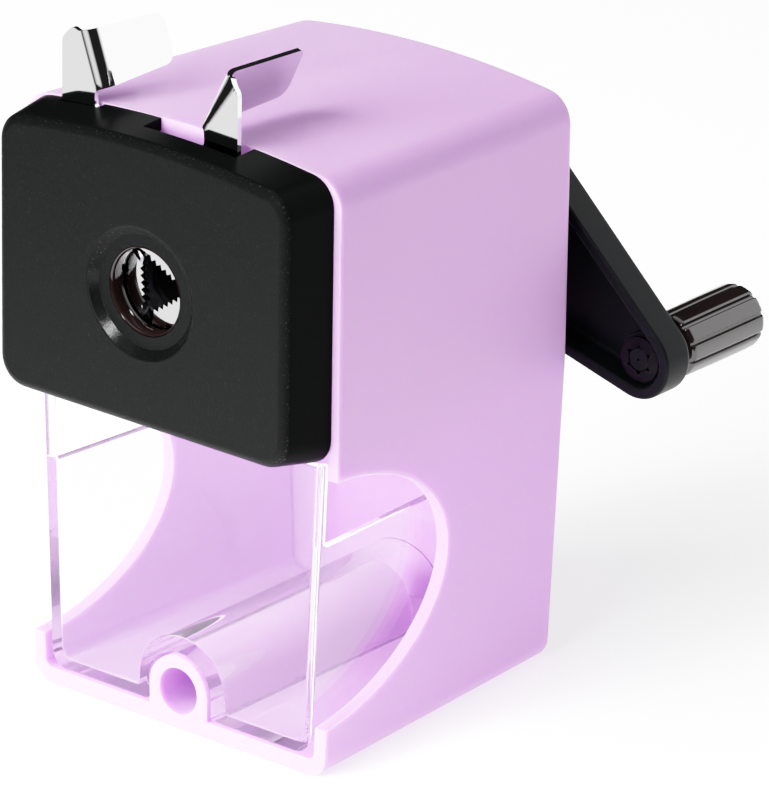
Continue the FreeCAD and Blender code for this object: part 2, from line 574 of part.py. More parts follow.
def knob():
    """The fluted handle with its stem, and the star clip that holds the stem in the arm."""
    grip = rod("Grip", "knob_radius", "knob_y + 1.2", "knob_end_y", KNOB_X, KNOB_Z)
    neck = rod("GripNeck", "knob_neck", "crank_back_y + 0.3", "knob_y + 2", KNOB_X, KNOB_Z)
    stem = rod("Stem", "stem_radius", "stem_y + 1.2", "knob_y + 2", KNOB_X, KNOB_Z)
    tip = rod("StemTip", "stem_tip_radius", "stem_y", "stem_y + 2", KNOB_X, KNOB_Z)
    flutes = []
    for i in range(int(value("knob_flutes"))):
        angle = f"(360 / knob_flutes * {i}) * 1deg"
        reach = "(knob_radius + flute_radius - 0.6)"
        flutes.append(rod(f"GripFlute{i}", "flute_radius", "knob_y", "knob_end_y + 1",
                          f"{KNOB_X} + {reach} * sin({angle})", f"{KNOB_Z} + {reach} * cos({angle})"))
    solid = cut("FlutedGrip", grip, *flutes)
    keep("knob", fuse("Knob", solid, neck, stem, tip))
    keep("knob_clip", tube("KnobClip", "star_clip_radius", "stem_tip_radius + 0.02", "stem_y + 0.2",
                           "stem_y + 1.0", KNOB_X, KNOB_Z))


# ---------------------------------------------------------------- carriage

def faceplate():
    """The black front: a drafted box open at the back, with the pencil's mouth and the lever gaps."""
    body = new_body("FaceplateShell")
    face_half, face_round = "plate_front_half - plate_inset", "plate_round - plate_inset"
    face = domed_section(body, "PlateFace", "plate_y", "plate_front_low + plate_inset", face_half,
                         "axis_z", face_half, "plate_front_shoulder - plate_inset",
                         "plate_front_crown - plate_inset", face_round, face_round)
    front = domed_section(body, "PlateFront", "plate_y + plate_edge", "plate_front_low",
                          "plate_front_half", "axis_z", "plate_front_half", "plate_front_shoulder",
                          "plate_front_crown", "plate_round", "plate_round")
    back = domed_section(body, "PlateBack", "plate_back_y", "plate_back_low", "plate_back_half", "axis_z",
                         "plate_back_half", "plate_back_shoulder", "plate_back_crown", "plate_round",
                         "plate_round")
    loft(body, "PlateOutside", face, front, back)
    hollow = "plate_wall + 0.3"
    front = domed_section(body, "PlateCavityFront", "plate_y + plate_wall", "plate_front_low + plate_wall",
                          f"plate_front_half - {hollow}", "axis_z", f"plate_front_half - {hollow}",
                          "plate_front_shoulder - plate_wall", "plate_front_crown - plate_wall",
                          "plate_round - plate_wall", "plate_round - plate_wall")
    back = domed_section(body, "PlateCavityBack", "plate_back_y", "plate_back_low + plate_wall",
                         f"plate_back_half - {hollow}", "axis_z", f"plate_back_half - {hollow}",
                         "plate_back_shoulder - plate_wall", "plate_back_crown - plate_wall",
                         "plate_round - plate_wall", "plate_round - plate_wall")
    loft(body, "PlateCavity", front, back, kind="SubtractiveLoft")
    solids = [body, rod("MouthBoss", "mouth_boss", "plate_y + 1.6", "plate_y + mouth_boss_depth")]
    holes = []
    for side, sign in (("Left", "-"), ("Right", "")):
        solids.append(rod(f"RodBoss{side}", "rod_boss", "plate_y + 1", "plate_back_y - 0.5", f"{sign}rod_x",
                          "rod_z"))
        holes.append(rod(f"RodHole{side}", "rod_radius + 0.02", "rod_start_y - 0.1", "plate_back_y + 1",
                         f"{sign}rod_x", "rod_z"))
        solids.append(rod(f"EarBoss{side}", "ear_boss", "plate_y + 1", "plate_y + back_layer",
                          f"{sign}ear_x", "axis_z - ear_drop"))
        holes.append(rod(f"EarHole{side}", "chuck_screw + 0.02", "plate_y + 3", "plate_back_y + 1",
                         f"{sign}ear_x", "axis_z - ear_drop"))
    mouth = primitive("Cone", "MouthCone", ("0", "plate_y - 0.001", "axis_z"), ALONG_Y,
                      Radius1="mouth_radius", Radius2="mouth_floor", Height="mouth_depth")
    holes += [mouth, rod("MouthBore", "mouth_bore", "plate_y - 1", "plate_y + mouth_boss_depth + 1")]
    above = ("plate_front_shoulder - 6", "plate_back_crown + 2")
    holes.append(box("LeverNotch", ("notch_left", "notch_right"),
                     ("plate_y + notch_front", "plate_back_y + 1"), above))
    holes.append(box("LeverSlot", ("slot_left", "slot_right"),
                     ("plate_y + back_layer - 0.2", "plate_back_y + 1"), above))
    keep("faceplate", cut("Faceplate", fuse("FaceplateSolid", *solids), *holes))

    sleeve = rod("BezelSleeve", "mouth_bore - 0.02", "plate_y + mouth_depth + 0.1", "plate_y + bezel_end")
    flange = rod("BezelFlange", "mouth_boss - 1", "plate_y + mouth_boss_depth", "plate_y + bezel_end")
    bore = rod("BezelBore", "bezel_bore", "plate_y - 1", "plate_y + 9")
    keep("pencil_bezel", cut("PencilBezel", fuse("BezelSolid", sleeve, flange), bore))


def coil(name, radius, wire, pitch, height):
    """A round-wire helical spring, its axis along the part's own Z."""
    helix = doc.addObject("Part::Helix", name + "_path")
    helix.setExpression("Radius", bound(radius))
    helix.setExpression("Pitch", bound(pitch))
    helix.setExpression("Height", bound(height))
    section = doc.addObject("Part::Circle", name + "_wire")
    section.setExpression("Radius", bound(wire))
    place(section, (radius, "0", "0"), Rotation(Vector(1, 0, 0), 90))
    doc.recompute()
    spring = doc.addObject("Part::Sweep", name)
    spring.Sections = [section]
    spring.Spine = (helix, ["Edge1"])
    spring.Solid = True
    spring.Frenet = True
    return spring


def guide_rods():
    """The two rods that carry the faceplate, with their end clips and feed springs."""
    clips = []
    free = "(rod_end_y - rod_clip - 0.6 - (frame_front_y + frame_front + 1))"
    for side, x in (("left", "-rod_x"), ("right", "rod_x")):
        keep(f"guide_rod_{side}", rod(f"GuideRod_{side}", "rod_radius", "rod_start_y", "rod_end_y", x,
                                      "rod_z"))
        clips.append(tube(f"RodClip_{side}", "rod_clip_radius", "rod_radius + 0.02",
                          "rod_end_y - rod_clip - 0.2", "rod_end_y - 0.2", x, "rod_z"))
        spring = coil(f"FeedSpring_{side}", "coil_radius", "coil_wire",
                      f"({free} - 4 * coil_wire) / coil_turns", f"{free} - 4 * coil_wire")
        place(spring, (x, "frame_front_y + frame_front + 1 + 2 * coil_wire + 0.2", "rod_z"), ALONG_Y)
        keep(f"feed_spring_{side}", spring)
    keep("rod_clips", compound("RodClips", clips))


# ---------------------------------------------------------------- chuck

def lever_outline(mirror):
    """The tab of a lever from the chuck's disc to its top, as (x, z) on the lever's own plane."""
    points = [("lever_root", "lever_foot_z - 8"), ("lever_outer - 6", "lever_foot_z - 8"),
              ("lever_outer", "lever_foot_z + 4"), ("lever_outer", "lever_top_z - 3"),
              ("lever_outer - 2.6", "lever_top_z"), ("lever_top", "lever_top_z"),
              ("lever_base", "lever_bend_z"), ("lever_neck", "lever_bend_z - 2.5")]
    if mirror:
        return [(f"-({x})", z) for x, z in points]
    return [(f"{x} + 2 * lever_centre", z) for x, z in points]


def lever(name, mirror, layer):
    """A lever's tab and its finger pad, bent back along the tab's slanted inner edge."""
    body = new_body(name + "Tab")
    sketch = new_sketch(body, name + "Outline", offset=f"-(plate_y + {layer})")
    outline(sketch, lever_outline(mirror))
    pad(body, sketch, name + "Pad", "sheet", backwards=True)
    wing = new_body(name + "Wing")
    sketch = new_sketch(wing, name + "WingOutline", "YZ_Plane")
    height = "sqrt((lever_top_z - lever_bend_z)^2 + (lever_top - lever_base)^2)"
    outline(sketch, [("0", "0"), ("pad_length - pad_corner", "0"), ("pad_length", "pad_corner"),
                     ("pad_length", f"{height} - pad_drop - pad_chamfer"),
                     ("pad_length - pad_chamfer", f"{height} - pad_drop"), ("0", height)])
    pad(wing, sketch, name + "WingPad", "sheet", backwards=mirror)
    foot = "-(lever_base)" if mirror else "lever_base + 2 * lever_centre"
    lean = "atan((lever_top - lever_base) / (lever_top_z - lever_bend_z))"
    place(wing, (foot, f"plate_y + {layer}", "lever_bend_z"), Rotation(Vector(0, -1 if mirror else 1, 0), 1))
    wing.setExpression("Placement.Rotation.Angle", bound(lean))
    return [body, wing]


def on_jaw_angles(name, u, v, radius, start_y, end_y):
    """Three cylinders parallel to Y at one jaw position, repeated every 120 degrees."""
    rods = []
    for i in range(3):
        turn = f"(jaw_turn + 60 + {120 * i}) * 1deg"
        x = f"({u}) * cos({turn}) - ({v}) * sin({turn})"
        z = f"axis_z + ({u}) * sin({turn}) + ({v}) * cos({turn})"
        rods.append(rod(f"{name}{i}", radius, start_y, end_y, x, z))
    return rods


def layer_disc(name, radius, layer):
    return rod(name, radius, f"plate_y + {layer}", f"plate_y + {layer} + sheet")


def chuck_plate():
    """The fixed back sheet of the chuck: disc, screw ears, left lever and spring tab."""
    layer = "back_layer"
    span = (f"plate_y + {layer}", f"plate_y + {layer} + sheet")
    disc = layer_disc("BackDisc", "chuck_radius", layer)
    ears = box("BackEars", ("-ear_x - ear_half", "ear_x + ear_half"), span,
               ("axis_z - ear_drop - ear_half", "axis_z - ear_drop + ear_half"))
    tab = box("BackSpringTab", ("-spring_half - 0.2 - tab_width", "-spring_half - 0.2"), span,
              ("axis_z - spring_drop - 1.5", "axis_z - 12"))
    tools = [rod("BackBore", "chuck_bore", "plate_y", "plate_back_y + 1")]
    tools += on_jaw_angles("BackPinHole", "pivot_u", "pivot_v", "pivot_radius + 0.02", "plate_y + 8",
                           "plate_back_y + 1")
    for side, sign in (("Left", "-"), ("Right", "")):
        tools.append(rod(f"EarScrewHole{side}", "chuck_screw + 0.1", "plate_y + 8", "plate_back_y + 1",
                         f"{sign}ear_x", "axis_z - ear_drop"))
    keep("chuck_plate", cut("ChuckPlate", fuse("BackSolid", disc, ears, tab,
                                               *lever("LeftLever", True, layer)), *tools))
    sleeve = rod("HubSleeve", "chuck_bore - 0.05", "plate_y + jaw_layer + jaw_thick + 0.3",
                 "plate_back_y - 0.7")
    keep("chuck_hub", cut("ChuckHub", sleeve, rod("HubBore", "hub_bore", "plate_y + 4", "plate_back_y + 1")))
    pins = on_jaw_angles("PivotPin", "pivot_u", "pivot_v", "pivot_radius", "plate_y + jaw_layer - 0.3",
                         "plate_back_y - 0.7")
    keep("jaw_pivot_pins", compound("JawPivotPins", pins))
    screws = []
    for side, x in (("Left", "-ear_x"), ("Right", "ear_x")):
        shank = rod(f"ChuckScrewShank{side}", "chuck_screw", "plate_y + 4",
                    "plate_y + back_layer + sheet + 0.1", x, "axis_z - ear_drop")
        head = rod(f"ChuckScrewHead{side}", "2 * chuck_screw", "plate_y + back_layer + sheet + 0.02",
                   "plate_y + back_layer + sheet + 1.3", x, "axis_z - ear_drop")
        screws.append(fuse(f"ChuckScrew{side}", shank, head))
    keep("chuck_screws", compound("ChuckScrews", screws))


def chuck_ring():
    """The turning sheet of the chuck: disc with swing slots, drive pins, right lever and spring tab."""
    layer = "ring_layer"
    disc = layer_disc("RingDisc", "chuck_radius", layer)
    tab = box("RingSpringTab", ("spring_half + 0.2", "spring_half + 0.2 + tab_width"),
              (f"plate_y + {layer}", f"plate_y + {layer} + sheet"),
              ("axis_z - spring_drop - 1.5", "axis_z - 12"))
    tools = [rod("RingBore", "chuck_bore", "plate_y", "plate_back_y")]
    tools += on_jaw_angles("DrivePinHole", "drive_u", "drive_v", "drive_radius + 0.02", "plate_y + 6.5",
                           "plate_y + 9")
    reach = math.hypot(value("pivot_u"), value("pivot_v"))
    at_rest = math.degrees(math.atan2(value("pivot_v"), value("pivot_u")))
    for i in range(3):
        outer = doc.addObject("Part::Cylinder", f"SwingOuter{i}")
        inner = doc.addObject("Part::Cylinder", f"SwingInner{i}")
        for part, change in ((outer, 1), (inner, -1)):
            part.Radius = reach + change * value("swing_slot")
            part.Height = 4
            part.setExpression("Angle", bound("swing_slot_angle" if part is outer else "360"))
        slot = cut(f"SwingSlot{i}", outer, inner)
        end = at_rest + value("jaw_turn") + 60 + 120 * i + 7.5
        start = Rotation(Vector(0, -1, 0), end - value("swing_slot_angle"))
        facing = start.multiply(Rotation(Vector(1, 0, 0), 90))
        slot.Placement = Placement(Vector(0, value("plate_y") + 10, value("axis_z")), facing)
        tools.append(slot)
    solid = fuse("RingSolid", disc, tab, *lever("RightLever", False, layer))
    keep("chuck_ring", cut("ChuckRing", solid, *tools))
    pins = on_jaw_angles("DrivePin", "drive_u", "drive_v", "drive_radius", "plate_y + jaw_layer - 0.1",
                         f"plate_y + {layer} + sheet")
    keep("jaw_drive_pins", compound("JawDrivePins", pins))
    spring = coil("ChuckSpring", "spring_radius", "spring_wire", "(2 * spring_half - 1) / 10",
                  "2 * spring_half - 1")
    place(spring, ("-spring_half + 0.5", "plate_y + (ring_layer + back_layer + sheet) / 2",
                   "axis_z - spring_drop"), Rotation(Vector(0, 1, 0), 90))
    keep("chuck_spring", spring)


def jaws():
    """Three toothed jaws, each swinging on its own pin and driven by a pin in its slanted slot."""
    teeth = 6
    pitch = f"(2 * jaw_half / {teeth})"
    edge = [("jaw_root", "jaw_half")]
    for i in range(teeth):
        edge.append(("jaw_tip", f"jaw_half - ({i} + 0.5) * {pitch}"))
        edge.append(("jaw_root", f"jaw_half - ({i} + 1) * {pitch}"))
    rest = [("pivot_u + 1.1", "-6.7"), ("drive_u + 1", "-6.9"), ("drive_u + 2.4", "drive_v + 0.6"),
            ("drive_u + 0.6", "0.5"), ("pivot_u + 2.8", "pivot_v - 2.6"), ("pivot_u + 2.5", "pivot_v"),
            ("pivot_u + 1.2", "pivot_v + 2.3"), ("pivot_u - 1.2", "pivot_v + 2.3"),
            ("pivot_u - 2.3", "pivot_v + 0.5"), ("pivot_u - 2.2", "pivot_v - 3.6")]
    for i in range(3):
        body = new_body(f"Jaw{i}")
        sketch = new_sketch(body, f"JawOutline{i}")
        outline(sketch, edge + rest)
        circle(sketch, "pivot_radius + gap", ("pivot_u", "pivot_v"))
        pad(body, sketch, f"JawPad{i}", "jaw_thick", backwards=True)
        doc.recompute()
        sketch = new_sketch(body, f"JawSlot{i}", offset="1")
        along = "drive_slot_angle * 1deg"
        corners = [(-0.4, -1), (1, -1), (1, 1), (-0.4, 1)]
        points = []
        for share, side in corners:
            reach = "(-drive_slot)" if share < 0 else "(drive_slot_length + drive_slot)"
            points.append((f"drive_u + {reach} * cos({along}) - ({side}) * drive_slot * sin({along})",
                           f"drive_v + {reach} * sin({along}) + ({side}) * drive_slot * cos({along})"))
        outline(sketch, points)
        pocket(body, sketch, f"JawSlotCut{i}", "jaw_thick + 2")
        doc.recompute()
        turned_about_axis(body, "plate_y + jaw_layer", f"jaw_turn + 60 + {120 * i}")
        keep(f"jaw_{i + 1}", body)


# ---------------------------------------------------------------- shavings bin

def bin_section(body, name, y, low, low_half, top, top_half):
    sketch = new_sketch(body, name, offset=f"-({y})")
    right = [(f"{low_half} - bin_bevel", low), (low_half, f"{low} + bin_bevel"), (top_half, top)]
    left = [(f"-({x})", z) for x, z in reversed(right)]
    outline(sketch, right + left)
    return sketch


def shavings_bin():
    """The clear drawer: high front window, lower sides and back, and a tunnel over the socket tube."""
    body = new_body("BinShell")
    front = bin_section(body, "BinFront", "bin_y", "bin_low_z", "bin_front_low", "bin_top_z",
                        "bin_front_top")
    back = bin_section(body, "BinBack", "bin_end_y", "bin_low_z", "bin_back_low", "bin_top_z",
                       "bin_back_top")
    loft(body, "BinOutside", front, back)
    front = bin_section(body, "BinHollowFront", "bin_y + bin_wall", "bin_low_z + bin_floor",
                        "bin_front_low - bin_wall", "bin_top_z + 1", "bin_front_top - bin_wall")
    back = bin_section(body, "BinHollowBack", "bin_end_y - bin_wall", "bin_low_z + bin_floor",
                       "bin_back_low - bin_wall", "bin_top_z + 1", "bin_back_top - bin_wall")
    loft(body, "BinHollow", front, back, kind="SubtractiveLoft")
    tunnel = rod("TunnelOutside", "tunnel_outer", "bin_y", "bin_end_y", z="tube_z")
    below = box("TunnelSpare", ("-2 * tunnel_outer", "2 * tunnel_outer"), ("bin_y - 1", "bin_end_y + 1"),
                ("tube_z - 2 * tunnel_outer", "bin_low_z"))
    solid = fuse("BinSolid", body, cut("TunnelShell", tunnel, below))
    bore = rod("TunnelBore", "tunnel_inner", "bin_y - 1", "bin_end_y + 1", z="tube_z")
    gap = box("TunnelGap", ("-tunnel_inner", "tunnel_inner"), ("bin_y - 1", "bin_end_y + 1"),
              ("0", "tube_z"))
    above = box("SideSpare", ("-2 * front_half", "2 * front_half"),
                ("bin_y + bin_wall + 0.8", "bin_end_y + 1"), ("bin_side_z", "bin_top_z + 2"))
    keep("shavings_bin", cut("ShavingsBin", solid, bore, gap, above))


# ---------------------------------------------------------------- assembly

def check_and_write():
    doc.recompute()
    for item in doc.Objects:
        if "Invalid" in item.State or "Error" in item.State:
            raise SystemExit(f"{item.Name} ({item.Label}) failed: {item.State}")
    os.makedirs("parts", exist_ok=True)
    for part in subparts:
        shape = part.Shape
        if shape.isNull() or not shape.isValid():
            raise SystemExit(f"{part.Label} has no valid shape")
        shape.exportStep(f"parts/{part.Label}.step")
        frame = shape.BoundBox
        limits = ((frame.XMin, frame.XMax), (frame.YMin, frame.YMax), (frame.ZMin, frame.ZMax))
        spans = [f"{low:.1f}..{high:.1f}" for low, high in limits]
        print(f"{part.Label}: {len(shape.Solids)} solid(s), {shape.Volume:.1f} mm3, x y z {' '.join(spans)}")


for make in (housing, mechanism_frame, ring_gear, bearings, cutter_carrier, cutter, drive_shaft, crank_arm,
             knob, faceplate, guide_rods, chuck_plate, chuck_ring, jaws, shavings_bin):
    make()
check_and_write()
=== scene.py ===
"""Crank pencil sharpener: the looks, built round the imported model.

Shapes are worked out in millimetres in the row frame (+X right, +Y to the crank, +Z up) and turned into metres
when each piece is made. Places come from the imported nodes' boxes.
"""

import bpy
import bmesh
import json
import math
from mathutils import Matrix, Vector


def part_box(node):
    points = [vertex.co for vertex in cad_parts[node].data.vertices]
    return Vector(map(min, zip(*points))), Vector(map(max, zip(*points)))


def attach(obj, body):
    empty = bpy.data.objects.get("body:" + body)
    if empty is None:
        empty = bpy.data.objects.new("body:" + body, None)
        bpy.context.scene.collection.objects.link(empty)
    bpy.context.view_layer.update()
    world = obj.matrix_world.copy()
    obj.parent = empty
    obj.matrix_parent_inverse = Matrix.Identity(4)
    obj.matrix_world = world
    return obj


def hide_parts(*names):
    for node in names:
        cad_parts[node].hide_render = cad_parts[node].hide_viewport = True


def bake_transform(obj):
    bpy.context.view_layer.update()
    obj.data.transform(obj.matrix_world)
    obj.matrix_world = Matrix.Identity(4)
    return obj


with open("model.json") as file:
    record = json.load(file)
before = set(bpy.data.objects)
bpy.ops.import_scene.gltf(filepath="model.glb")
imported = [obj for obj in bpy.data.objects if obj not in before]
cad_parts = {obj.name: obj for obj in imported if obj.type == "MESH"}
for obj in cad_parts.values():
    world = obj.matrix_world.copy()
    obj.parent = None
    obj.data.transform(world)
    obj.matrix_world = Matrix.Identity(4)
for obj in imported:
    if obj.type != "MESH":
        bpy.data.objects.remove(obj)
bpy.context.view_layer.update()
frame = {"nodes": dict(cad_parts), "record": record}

MM = 0.001
nodes = frame["nodes"]
joints = {joint["name"]: joint for joint in frame["record"]["behaviour"]["joints"]}


def span(node, axis):
    """The lowest and highest value of a node along one axis, in millimetres."""
    low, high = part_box(node)
    return low[axis] / MM, high[axis] / MM


AXIS_Z = joints["chuck_turn"]["pos_m"][2] / MM
MOUTH_CONE = 0.0124


# ---------------------------------------------------------------- mesh helpers

def loop_of(bm, points):
    """New vertices at the points, in order."""
    return [bm.verts.new(point) for point in points]


def skin(bm, loops, cap_first=False, cap_last=False, closed=False):
    """Quads between loops of equal length, with optional end caps, or joined last to first."""
    pairs = list(zip(loops, loops[1:]))
    if closed:
        pairs.append((loops[-1], loops[0]))
    for first, second in pairs:
        for i in range(len(first)):
            j = (i + 1) % len(first)
            bm.faces.new((first[i], first[j], second[j], second[i]))
    if cap_first:
        bm.faces.new(list(reversed(loops[0])))
    if cap_last:
        bm.faces.new(loops[-1])


def mesh_object(name, bm):
    """A linked object from a bmesh, with its faces turned outwards."""
    bmesh.ops.recalc_face_normals(bm, faces=bm.faces)
    mesh = bpy.data.meshes.new(name)
    bm.to_mesh(mesh)
    bm.free()
    obj = bpy.data.objects.new(name, mesh)
    bpy.context.scene.collection.objects.link(obj)
    return obj


def applied(obj):
    """Turns the object's modifiers into plain mesh."""
    bpy.context.view_layer.update()
    final = bpy.data.meshes.new_from_object(obj.evaluated_get(bpy.context.evaluated_depsgraph_get()))
    obj.modifiers.clear()
    obj.data = final


def boolean(obj, tools, operation="DIFFERENCE"):
    """Cuts the tools from the object or joins them to it, then removes them."""
    for tool in tools:
        modifier = obj.modifiers.new("Boolean", "BOOLEAN")
        modifier.operation = operation
        modifier.solver = "EXACT"
        modifier.object = tool
    applied(obj)
    for tool in tools:
        bpy.data.objects.remove(tool)


def bevelled(obj, width, segments=3, angle=32):
    """Rounds every edge sharper than the angle."""
    modifier = obj.modifiers.new("Bevel", "BEVEL")
    modifier.width = width
    modifier.segments = segments
    modifier.limit_method = "ANGLE"
    modifier.angle_limit = math.radians(angle)
    modifier.miter_outer = "MITER_ARC"
    applied(obj)


def finished(obj, material, body, replaces=(), smooth=40):
    """Turns a piece made in millimetres into metres, shades it, and hangs it on its CAD body."""
    mesh = obj.data
    mesh.transform(Matrix.Scale(MM, 4))
    for polygon in mesh.polygons:
        polygon.use_smooth = True
    mesh.set_sharp_from_angle(angle=math.radians(smooth))
    weighted = obj.modifiers.new("Normals", "WEIGHTED_NORMAL")
    weighted.keep_sharp = True
    mesh.materials.clear()
    mesh.materials.append(material)
    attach(obj, body)
    if replaces:
        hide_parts(*replaces)


def circle_points(radius, y, centre=(0.0, 0.0), count=96):
    x, z = centre
    turns = [2 * math.pi * i / count for i in range(count)]
    return [(x + radius * math.cos(t), y, z + radius * math.sin(t)) for t in turns]


def turned(name, profile, centre, count=96, closed=True):
    """A body of revolution about a line parallel to Y: profile is a list of (radius, y)."""
    bm = bmesh.new()
    loops = [loop_of(bm, circle_points(radius, y, centre, count)) for radius, y in profile]
    skin(bm, loops, cap_first=not closed, cap_last=not closed, closed=closed)
    return mesh_object(name, bm)


def prism(name, outline, low, high, axis=1):
    """A straight-sided solid between two planes: outline is (x, z) for axis 1 (Y) or (y, z) for axis 0 (X)."""
    bm = bmesh.new()

    def place(point, level):
        return (level, *point) if axis == 0 else (point[0], level, point[1])

    loops = [loop_of(bm, [place(point, level) for point in outline]) for level in (low, high)]
    skin(bm, loops, cap_first=True, cap_last=True)
    return mesh_object(name, bm)


def arc(centre, radius, start, end, count):
    """Points on an arc, in degrees, both ends included."""
    turns = [math.radians(start + (end - start) * i / count) for i in range(count + 1)]
    return [(centre[0] + radius * math.cos(t), centre[1] + radius * math.sin(t)) for t in turns]


def rounded_rectangle(x0, x1, z0, z1, radius, count=6):
    corners = (((x1 - radius, z0 + radius), -90), ((x1 - radius, z1 - radius), 0),
               ((x0 + radius, z1 - radius), 90), ((x0 + radius, z0 + radius), 180))
    return [point for centre, start in corners for point in arc(centre, radius, start, start + 90, count)]


def edge_rounding(radius, steps=6):
    """(inset, setback) pairs of a quarter-round edge, from its face tangent to its side tangent."""
    turns = [math.pi / 2 * i / steps for i in range(steps + 1)]
    return [(radius * (1 - math.sin(t)), radius * (1 - math.cos(t))) for t in turns]


# ---------------------------------------------------------------- materials

class Shader:
    """A material with short ways to add and join nodes."""

    def __init__(self, name):
        self.material = bpy.data.materials.new(name)
        self.material.use_nodes = True
        self.tree = self.material.node_tree
        self.surface = self.tree.nodes["Principled BSDF"]
        self.output = self.tree.nodes["Material Output"]
        self.where = self.add("ShaderNodeTexCoord").outputs["Object"]

    def add(self, kind, **inputs):
        node = self.tree.nodes.new(kind)
        for key, value in inputs.items():
            name = key.replace("_", " ")
            if isinstance(value, bpy.types.NodeSocket):
                self.tree.links.new(value, node.inputs[name])
            else:
                node.inputs[name].default_value = value
        return node

    def set(self, **inputs):
        for key, value in inputs.items():
            name = key.replace("_", " ")
            if isinstance(value, bpy.types.NodeSocket):
                self.tree.links.new(value, self.surface.inputs[name])
            else:
                self.surface.inputs[name].default_value = value

    def noise(self, scale, detail=2.0, roughness=0.5, stretch=(1, 1, 1)):
        vector = self.add("ShaderNodeMapping", Vector=self.where, Scale=stretch).outputs[0]
        return self.add("ShaderNodeTexNoise", Vector=vector, Scale=scale, Detail=detail,
                        Roughness=roughness).outputs[0]

    def ramp(self, factor, low, high, start=0.0, end=1.0):
        """A factor spread between two numbers."""
        node = self.add("ShaderNodeMapRange", Value=factor, From_Min=start, From_Max=end, To_Min=low, To_Max=high)
        return node.outputs[0]

    def math(self, operation, *values):
        node = self.tree.nodes.new("ShaderNodeMath")
        node.operation = operation
        for value, slot in zip(values, node.inputs):
            if isinstance(value, bpy.types.NodeSocket):
                self.tree.links.new(value, slot)
            else:
                slot.default_value = value
        return node.outputs[0]

    def blend(self, factor, first, second):
        node = self.tree.nodes.new("ShaderNodeMix")
        node.data_type = "RGBA"
        self.tree.links.new(factor, node.inputs[0])
        node.inputs[6].default_value = (*first, 1)
        node.inputs[7].default_value = (*second, 1)
        return node.outputs[2]

    def bump(self, height, distance, strength=1.0, under=None):
        node = self.add("ShaderNodeBump", Height=height, Distance=distance, Strength=strength)
        if under:
            self.tree.links.new(under, node.inputs["Normal"])
        return node.outputs[0]


def lilac_plastic():
    """Satin moulded plastic that glows a little where light gets through, with faint flow and a fine skin."""
    s = Shader("lilac_plastic")
    flow = s.noise(22, 3, 0.6, (1, 1, 0.4))
    colour = s.blend(flow, (0.615, 0.335, 0.700), (0.645, 0.365, 0.725))
    s.set(Base_Color=colour, Roughness=s.ramp(s.noise(120, 3), 0.34, 0.44), Specular_IOR_Level=0.16,
          Sheen_Weight=0.2, Sheen_Roughness=0.3,
          Subsurface_Weight=1.0, Subsurface_Radius=(1.0, 0.75, 1.05), Subsurface_Scale=0.004,
          Normal=s.bump(s.noise(1900, 2), 0.000012, 0.35))
    return s.material


def textured_black():
    """Black plastic: a spark-eroded grain on the front, polished sides and lower mouth cone, a speckled edge."""
    s = Shader("textured_black")
    grain = s.noise(2300, 3, 0.62)
    coarse = s.noise(900, 1, 0.5)
    sides = s.add("ShaderNodeSeparateXYZ", Vector=s.where.node.outputs["Normal"]).outputs["Y"]
    front = s.ramp(sides, 1.0, 0.0, -0.85, -0.35)
    depth = s.math("MULTIPLY", grain, front)
    speck = s.ramp(grain, 0.0, 1.0, 0.60, 0.74)
    colour = s.blend(s.math("MULTIPLY", speck, front), (0.0018, 0.0021, 0.0020), (0.010, 0.011, 0.011))
    place = s.add("ShaderNodeSeparateXYZ", Vector=s.where).outputs
    across, above = s.math("POWER", place["X"], 2.0), s.math("SUBTRACT", place["Z"], AXIS_Z * MM)
    near = s.math("LESS_THAN", s.math("ADD", across, s.math("POWER", above, 2.0)), MOUTH_CONE ** 2)
    polished = s.math("MULTIPLY", near, s.ramp(sides, 0.0, 1.0, -0.95, -0.80))
    polished = s.math("MULTIPLY", polished, s.ramp(above, 1.0, 0.0, -0.003, 0.002))
    rough = s.math("SUBTRACT", s.ramp(front, 0.30, 0.50), s.math("MULTIPLY", polished, 0.28))
    brow = s.math("MULTIPLY", s.math("MULTIPLY", front, s.math("SUBTRACT", 1.0, front)), speck)
    shine = s.math("ADD", s.ramp(front, 0.01, 0.10), s.math("MULTIPLY", polished, 0.5))
    shine = s.math("ADD", shine, s.math("MULTIPLY", brow, 3.0))
    s.set(Base_Color=colour, Roughness=s.math("MAXIMUM", rough, 0.12), Specular_IOR_Level=shine,
          Normal=s.bump(depth, 0.00007, 0.6, s.bump(coarse, 0.00003, 0.2)))
    return s.material


def plain_black(name, colour, rough, grain_depth, tint=(0.02, 0.022, 0.028), shine=0.5):
    """Black moulded plastic with a controllable polish."""
    s = Shader(name)
    cloud = s.noise(60, 3)
    s.set(Base_Color=s.blend(cloud, colour, tint), Roughness=s.ramp(s.noise(300, 2), rough * 0.9, rough * 1.15),
          Specular_IOR_Level=shine, Normal=s.bump(s.noise(1400, 2), grain_depth, 0.3))
    return s.material


def chrome():
    """Bright chromium on pressed steel, with hairline scratches and faint waviness."""
    s = Shader("chromed_steel")
    rough = 0.05
    scratches = s.noise(420, 4, 0.7, (1, 1, 14))
    s.set(Base_Color=(0.84, 0.84, 0.855, 1), Metallic=1.0,
          Roughness=s.ramp(scratches, rough * 0.6, rough * 1.9, 0.35, 0.75),
          Normal=s.bump(s.noise(90, 1), 0.00008, 0.12))
    return s.material


def worked_steel(name, colour, rough, stretch):
    """Zinc-plated, drawn or ground steel: the stretch gives the direction of its fine lines."""
    s = Shader(name)
    lines = s.noise(700, 4, 0.7, stretch)
    tone = tuple(0.8 * c for c in colour)
    s.set(Base_Color=s.blend(s.noise(140, 3), colour, tone), Metallic=1.0,
          Roughness=s.ramp(lines, rough * 0.8, rough * 1.3), Normal=s.bump(lines, 0.00002, 0.3))
    return s.material


